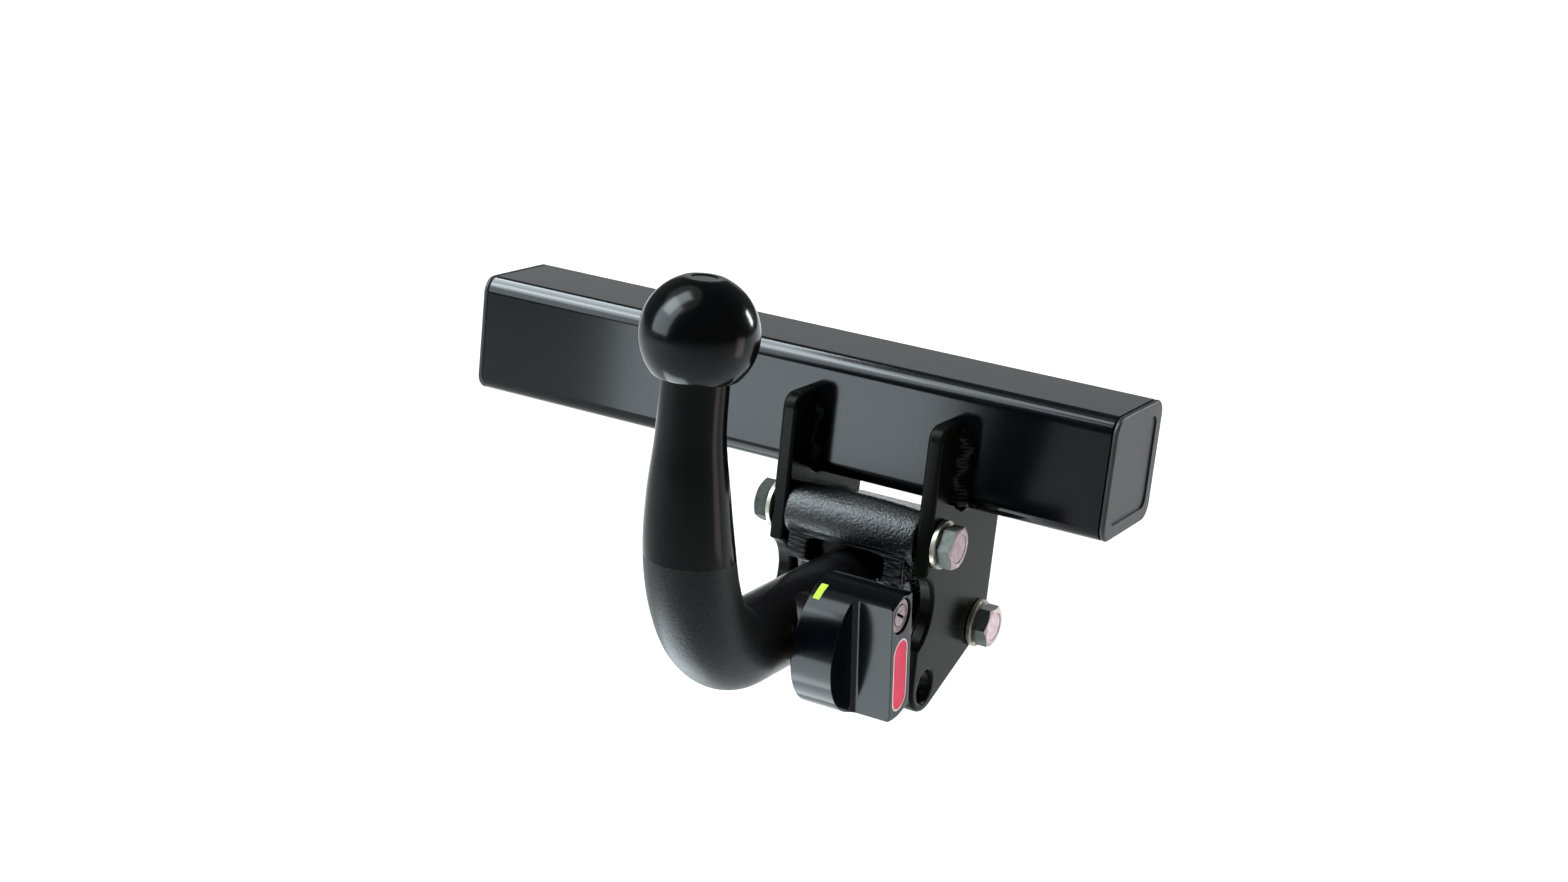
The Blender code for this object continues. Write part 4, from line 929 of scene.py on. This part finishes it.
def make_shell():
    profile = [(0, DRUM_BACK), *low_edge(WHEEL_R, DRUM_BACK, 0.0008),
               *high_edge(WHEEL_R, GRIP_END, 0.0012, 6), (0, GRIP_END)]
    shell = lathe("handwheel_shell", profile, WHEEL, 144)
    combine(shell, "DIFFERENCE", [finger_recess(1), finger_recess(-1)])
    soften(shell, 0.0009, 3, 50)
    cutters = [rod("cavity", *CAVITY, WHEEL, steps=64),
               rod("nut_pocket", *NUT_POCKET, WHEEL, steps=48)]
    bore_r = LOCK_R + GAP
    mouth = bore_r + LOCK_EDGE
    edge = arc((mouth, GRIP_END - LOCK_EDGE), LOCK_EDGE, 180, 90, 4)
    bore = [(0, LOCK_SEAT), (bore_r, LOCK_SEAT), *edge, (mouth, BEYOND_GRIP), (0, BEYOND_GRIP)]
    cutters.append(lathe("lock_bore", bore, KEY, 72))
    recess = label_outline(GAP, LABEL_HALF)
    cutters.append(slab("label_recess", [recess], GRIP_END - 0.001, BEYOND_GRIP, WHEEL))
    low, high = MARK_ANGLES
    pocket = sector(0.032, 0.029, low - MARK_PLAY, high + MARK_PLAY, 13)
    cutters.append(slab("mark_pocket", [pocket], 0.0243, 0.0282, WHEEL))
    combine(shell, "DIFFERENCE", cutters)
    finish_piece(shell, WHEEL_PLASTIC, "handwheel", ["wheel_shell"], 38)

    mark = sector(WHEEL_R - 0.0001, 0.0293, low, high, 13)
    mark = slab("mark_insert", [mark], 0.0246, 0.0279, WHEEL)
    finish_piece(mark, GREEN, "handwheel", ["green_mark"])


def label_outline(margin, corner):
    """The label's outline, grown all round by the margin."""
    middle = ((LABEL_X[0] + LABEL_X[1]) / 2, 0)
    length = LABEL_X[1] - LABEL_X[0] + 2 * margin
    return box_outline(length, 2 * LABEL_HALF + 2 * margin, corner, middle, 20)


def make_label():
    """Blank red field with a pale raised border and no wording."""
    corner = LABEL_HALF - GAP
    outer = label_outline(0, corner)
    field = label_outline(-LABEL_BORDER, corner - LABEL_BORDER)
    base = LABEL_BACK
    edging = slab("label_edging", [outer, field], base, base + LABEL_T, WHEEL, 0.0001, 1)
    finish_piece(edging, PALE, "handwheel", ["label_plate"])
    inset = label_outline(-LABEL_BORDER - 0.00005, corner - LABEL_BORDER)
    inset = slab("label_field", [inset], base, base + LABEL_FIELD_T, WHEEL)
    finish_piece(inset, RED, "handwheel")


def make_key_lock():
    """The lock's barrel and the slotted plug that turns in it."""
    face, back = LOCK_FACE, 0.0382
    inner, sunk = LOCK_INNER_R, face - 0.0003
    profile = [(inner, back), (LOCK_R, back), *high_edge(LOCK_R, face, LOCK_EDGE),
               (0.0064, face), (0.0061, sunk), (inner + 0.0001, sunk), (inner, face - LOCK_EDGE)]
    finish_piece(lathe("key_barrel", profile, KEY, 72), NICKEL, "handwheel", ["lock_barrel"])
    plug = rod("key_plug", KEY_R, KEY_BACK, face, KEY, KEY_EDGE, 64)
    turned = KEY @ Matrix.Rotation(math.radians(-38), 4, "Z")
    low, high = (-0.0007, -0.004, face - 0.01), (0.0007, 0.004, face + CUT_PAST)
    combine(plug, "DIFFERENCE", [block("slit", low, high, turned)])
    tail = block("plug_tail", (-0.002, -0.002, 0.0336), (0.002, 0.002, 0.038), KEY)
    combine(plug, "UNION", [tail])
    finish_piece(plug, NICKEL, "key_plug", ["lock_plug"])


def make_bush():
    """Bronze flange behind the wheel, with its two stop slots."""
    outer, edge, bore_r, body_r = BUSH_FLANGE_R, 0.0004, 0.0053, 0.009
    profile = [(bore_r, BUSH_BACK), (body_r, BUSH_BACK), (body_r, BUSH_SEAT),
               (outer - edge, BUSH_SEAT), (outer, BUSH_SEAT + edge),
               (outer, BUSH_FACE - edge), (outer - edge, BUSH_FACE), (bore_r, BUSH_FACE)]
    bush = lathe("stop_bush", profile, WHEEL)
    low, high = 0.02, 0.024
    cutters = [slab("slot", [sector(*STOP_SLOT, start, start + STOP_SWEEP, 25)], low, high, WHEEL)
               for start in (79, 259)]
    seat = [(0, low), (0.0017, low), (0.0017, 0.0216), (0.0031, 0.023), (0.0031, high), (0, high)]
    for angle in (37.5, 217.5):
        turned = WHEEL @ Matrix.Rotation(math.radians(angle), 4, "Z")
        place = turned @ Matrix.Translation((BUSH_SCREW_R, 0, 0))
        cutters.append(lathe("seat", seat, place, 32))
    combine(bush, "DIFFERENCE", cutters)
    finish_piece(bush, BRONZE, "neck", ["flanged_bush"])


def make_pull_spring():
    """Coil between the core and the fixed washer, built at one length and carried by the handwheel."""
    wire, per_turn, turns = 0.0007, 32, 3.2
    low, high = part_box("wheel_spring")
    start, end = low[0] + wire, high[0] - wire
    radius = (high[1] - low[1]) / 2 - wire
    count = int(per_turn * turns)
    curve = bpy.data.curves.new("coil", "CURVE")
    curve.dimensions = "3D"
    curve.bevel_depth = wire
    curve.bevel_resolution = 4
    curve.use_fill_caps = True
    spline = curve.splines.new("POLY")
    spline.points.add(count)
    for i, point in enumerate(spline.points):
        angle = 2 * math.pi * i / per_turn
        along = start + (end - start) * i / count
        point.co = (radius * math.cos(angle), radius * math.sin(angle), along, 1.0)
    spring = piece_from(solid(curve), "pull_spring", WHEEL)
    finish_piece(spring, ZINC, "handwheel", ["wheel_spring"])
    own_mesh(spring)


def dress_kept_nodes():
    """Better materials for the inner CAD pieces whose shapes stay."""
    kept = {
        STEEL: ["push_rod", "wheel_spindle", "stop_pin_upper", "stop_pin_lower"],
        ZINC: ["spindle_nut", "spring_washer_plate", "lock_cam", "bush_screw_a", "bush_screw_b",
               "core_screw_front", "core_screw_rear"],
        CAP_PLASTIC: ["wheel_core"],
    }
    for surface, nodes in kept.items():
        for node in nodes:
            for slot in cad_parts[node].material_slots:
                slot.material = surface


# --- studio
WORLD_LIGHT = 0.13
SUN_LIGHT = 0.6
FLOOR_Z = -0.45


def make_studio():
    """Pale floor well below the part, a soft sun and plain softboxes."""
    bm = bmesh.new()
    bmesh.ops.create_grid(bm, x_segments=1, y_segments=1, size=30)
    floor = piece_from(bm, "studio_floor", Matrix.Translation((0, 0, FLOOR_Z)))
    pale = Surface("floor_paint", None, (0.48, 0.48, 0.48), 0.8, 0.2)
    pale.set("Base Color", pale.blend(pale.noise(0.4, 2.0), (0.47, 0.47, 0.47), (0.49, 0.49, 0.49)))
    floor.data.materials.append(pale.material)

    scene = bpy.context.scene
    scene.view_settings.view_transform = "Standard"
    world = bpy.data.worlds.new("studio_world")
    world.use_nodes = True
    backdrop = world.node_tree.nodes["Background"]
    backdrop.inputs["Color"].default_value = (0.93, 0.97, 1.0, 1.0)
    backdrop.inputs["Strength"].default_value = WORLD_LIGHT
    scene.world = world

    ball = Vector((0, BALL_Y, BALL_Z))
    beam = Vector((-0.065, BEAM_LOW[1], 0))
    bend = Vector((0, *NECK_STATIONS[5][:2]))
    wheel = Vector((GRIP_END, WHEEL_Y, WHEEL_Z))
    behind, further = Vector((-0.2, 3.8, FLOOR_Z)), Vector((0.8, 12.3, FLOOR_Z))
    cool, clear, warm = (0.83, 0.95, 1.0), (0.96, 1.0, 1.0), (1.0, 0.8, 0.84)
    sun = bpy.data.lights.new("overhead_sun", "SUN")
    sun.energy = SUN_LIGHT
    sun.angle = math.radians(60)
    place_lamp("overhead_sun", sun, ball, (-0.44, -0.27, 0.86), 3.0)
    # A tall softbox on the left with a brighter middle, a small one behind on the right, weak cards
    # at the right, behind and under the bend, and two banks that whiten the floor behind. Three
    # lamps shine on a few pieces alone: the strip along the beam's upper corner, the low softbox
    # before the beam and the card for the grip bar.
    softbox("tall_softbox", ball, (-0.72, -0.58, 0.44), 2.0, (1.45, 2.1), 7.0, cool)
    softbox("tall_softbox_core", beam, (-0.47, -0.42, 0.78), 1.9, (0.7, 1.45), 10.0, cool)
    strip = softbox("corner_strip", beam, (-0.66, -0.03, 0.75), 2.0, (2.2, 1.2), 17.0, cool)
    shine_only_on(strip, "crossbeam_tube")
    low = softbox("low_softbox", beam, (-0.42, -0.85, -0.212), 0.72, (0.27, 0.17), 8.0, cool)
    shine_only_on(low, "crossbeam_tube", "plate_left", "plate_right", "bead_right_outer",
                  "bead_left_inner")
    softbox("right_softbox", ball, (0.48, 0.83, 0.25), 1.6, (0.22, 0.42), 30.0, clear)
    softbox("warm_card", ball, (0.87, 0.37, -0.2), 1.2, (0.35, 0.55), 2.5, warm)
    softbox("back_card", beam, (-0.44, 0.87, 0.235), 2.6, (1.5, 0.55), 0.4, clear)
    softbox("table_card", bend, (-0.48, 0.06, -0.86), 0.32, (0.28, 0.22), 5.0, cool)
    card = softbox("grip_card", wheel, (-0.38, -0.68, -0.63), 0.34, (0.34, 0.26), 9.0, cool)
    shine_only_on(card, "handwheel_shell")
    bank = softbox("floor_bank", behind, (0, 0.1, 1.0), 4.0, (11.0, 5.6), 4.6, clear)
    far_bank = softbox("far_bank", further, (0, 0.1, 1.0), 4.5, (20.0, 10.0), 4.6, clear)
    bank.visible_glossy = far_bank.visible_glossy = False


def place_lamp(name, data, target, direction, distance):
    lamp = link(bpy.data.objects.new(name, data))
    towards = Vector(direction).normalized()
    lamp.location = target + towards * distance
    lamp.rotation_euler = towards.to_track_quat("Z", "Y").to_euler()
    lamp.visible_camera = False
    return lamp


def softbox(name, target, direction, distance, size, radiance, colour):
    data = bpy.data.lights.new(name, "AREA")
    data.shape = "RECTANGLE"
    data.size, data.size_y = size
    data.energy = radiance * math.pi * size[0] * size[1]
    data.color = colour
    return place_lamp(name, data, target, direction, distance)


def shine_only_on(lamp, *pieces):
    """Keeps a lamp's light to the named pieces."""
    receivers = bpy.data.collections.new(f"{lamp.name}_receivers")
    for piece in pieces:
        receivers.objects.link(bpy.data.objects[piece])
    lamp.light_linking.receiver_collection = receivers


# The photograph's camera, as it looks at the ball: angles, distance, shift and focal length.
AZIMUTH, ELEVATION, ROLL = math.radians(26.958), math.radians(15.665), math.radians(6.039)
DISTANCE = 0.964613
SIDEWAYS, RAISED = 0.03408, -0.043169
LENS = 54.91


def make_camera():
    flat = math.cos(ELEVATION)
    back = Vector((math.sin(AZIMUTH) * flat, -math.cos(AZIMUTH) * flat, math.sin(ELEVATION)))
    level = Vector((math.cos(AZIMUTH), math.sin(AZIMUTH), 0))
    lift = back.cross(level)
    right = level * math.cos(ROLL) + lift * math.sin(ROLL)
    up = lift * math.cos(ROLL) - level * math.sin(ROLL)
    data = bpy.data.cameras.new("photo_camera")
    data.lens = LENS
    data.clip_end = 100
    camera = link(bpy.data.objects.new("photo_camera", data))
    centre = Vector((0, BALL_Y, BALL_Z))
    place = centre + back * DISTANCE + right * SIDEWAYS + up * RAISED
    camera.matrix_world = axes(place, right, up, back)
    bpy.context.scene.camera = camera


make_camera()
make_beam()
make_plates()
make_welds()
make_housing()
make_sleeve_and_cap()
make_bolts()
make_neck()
make_shank_parts()
make_shell()
make_label()
make_key_lock()
make_bush()
make_pull_spring()
dress_kept_nodes()
make_studio()
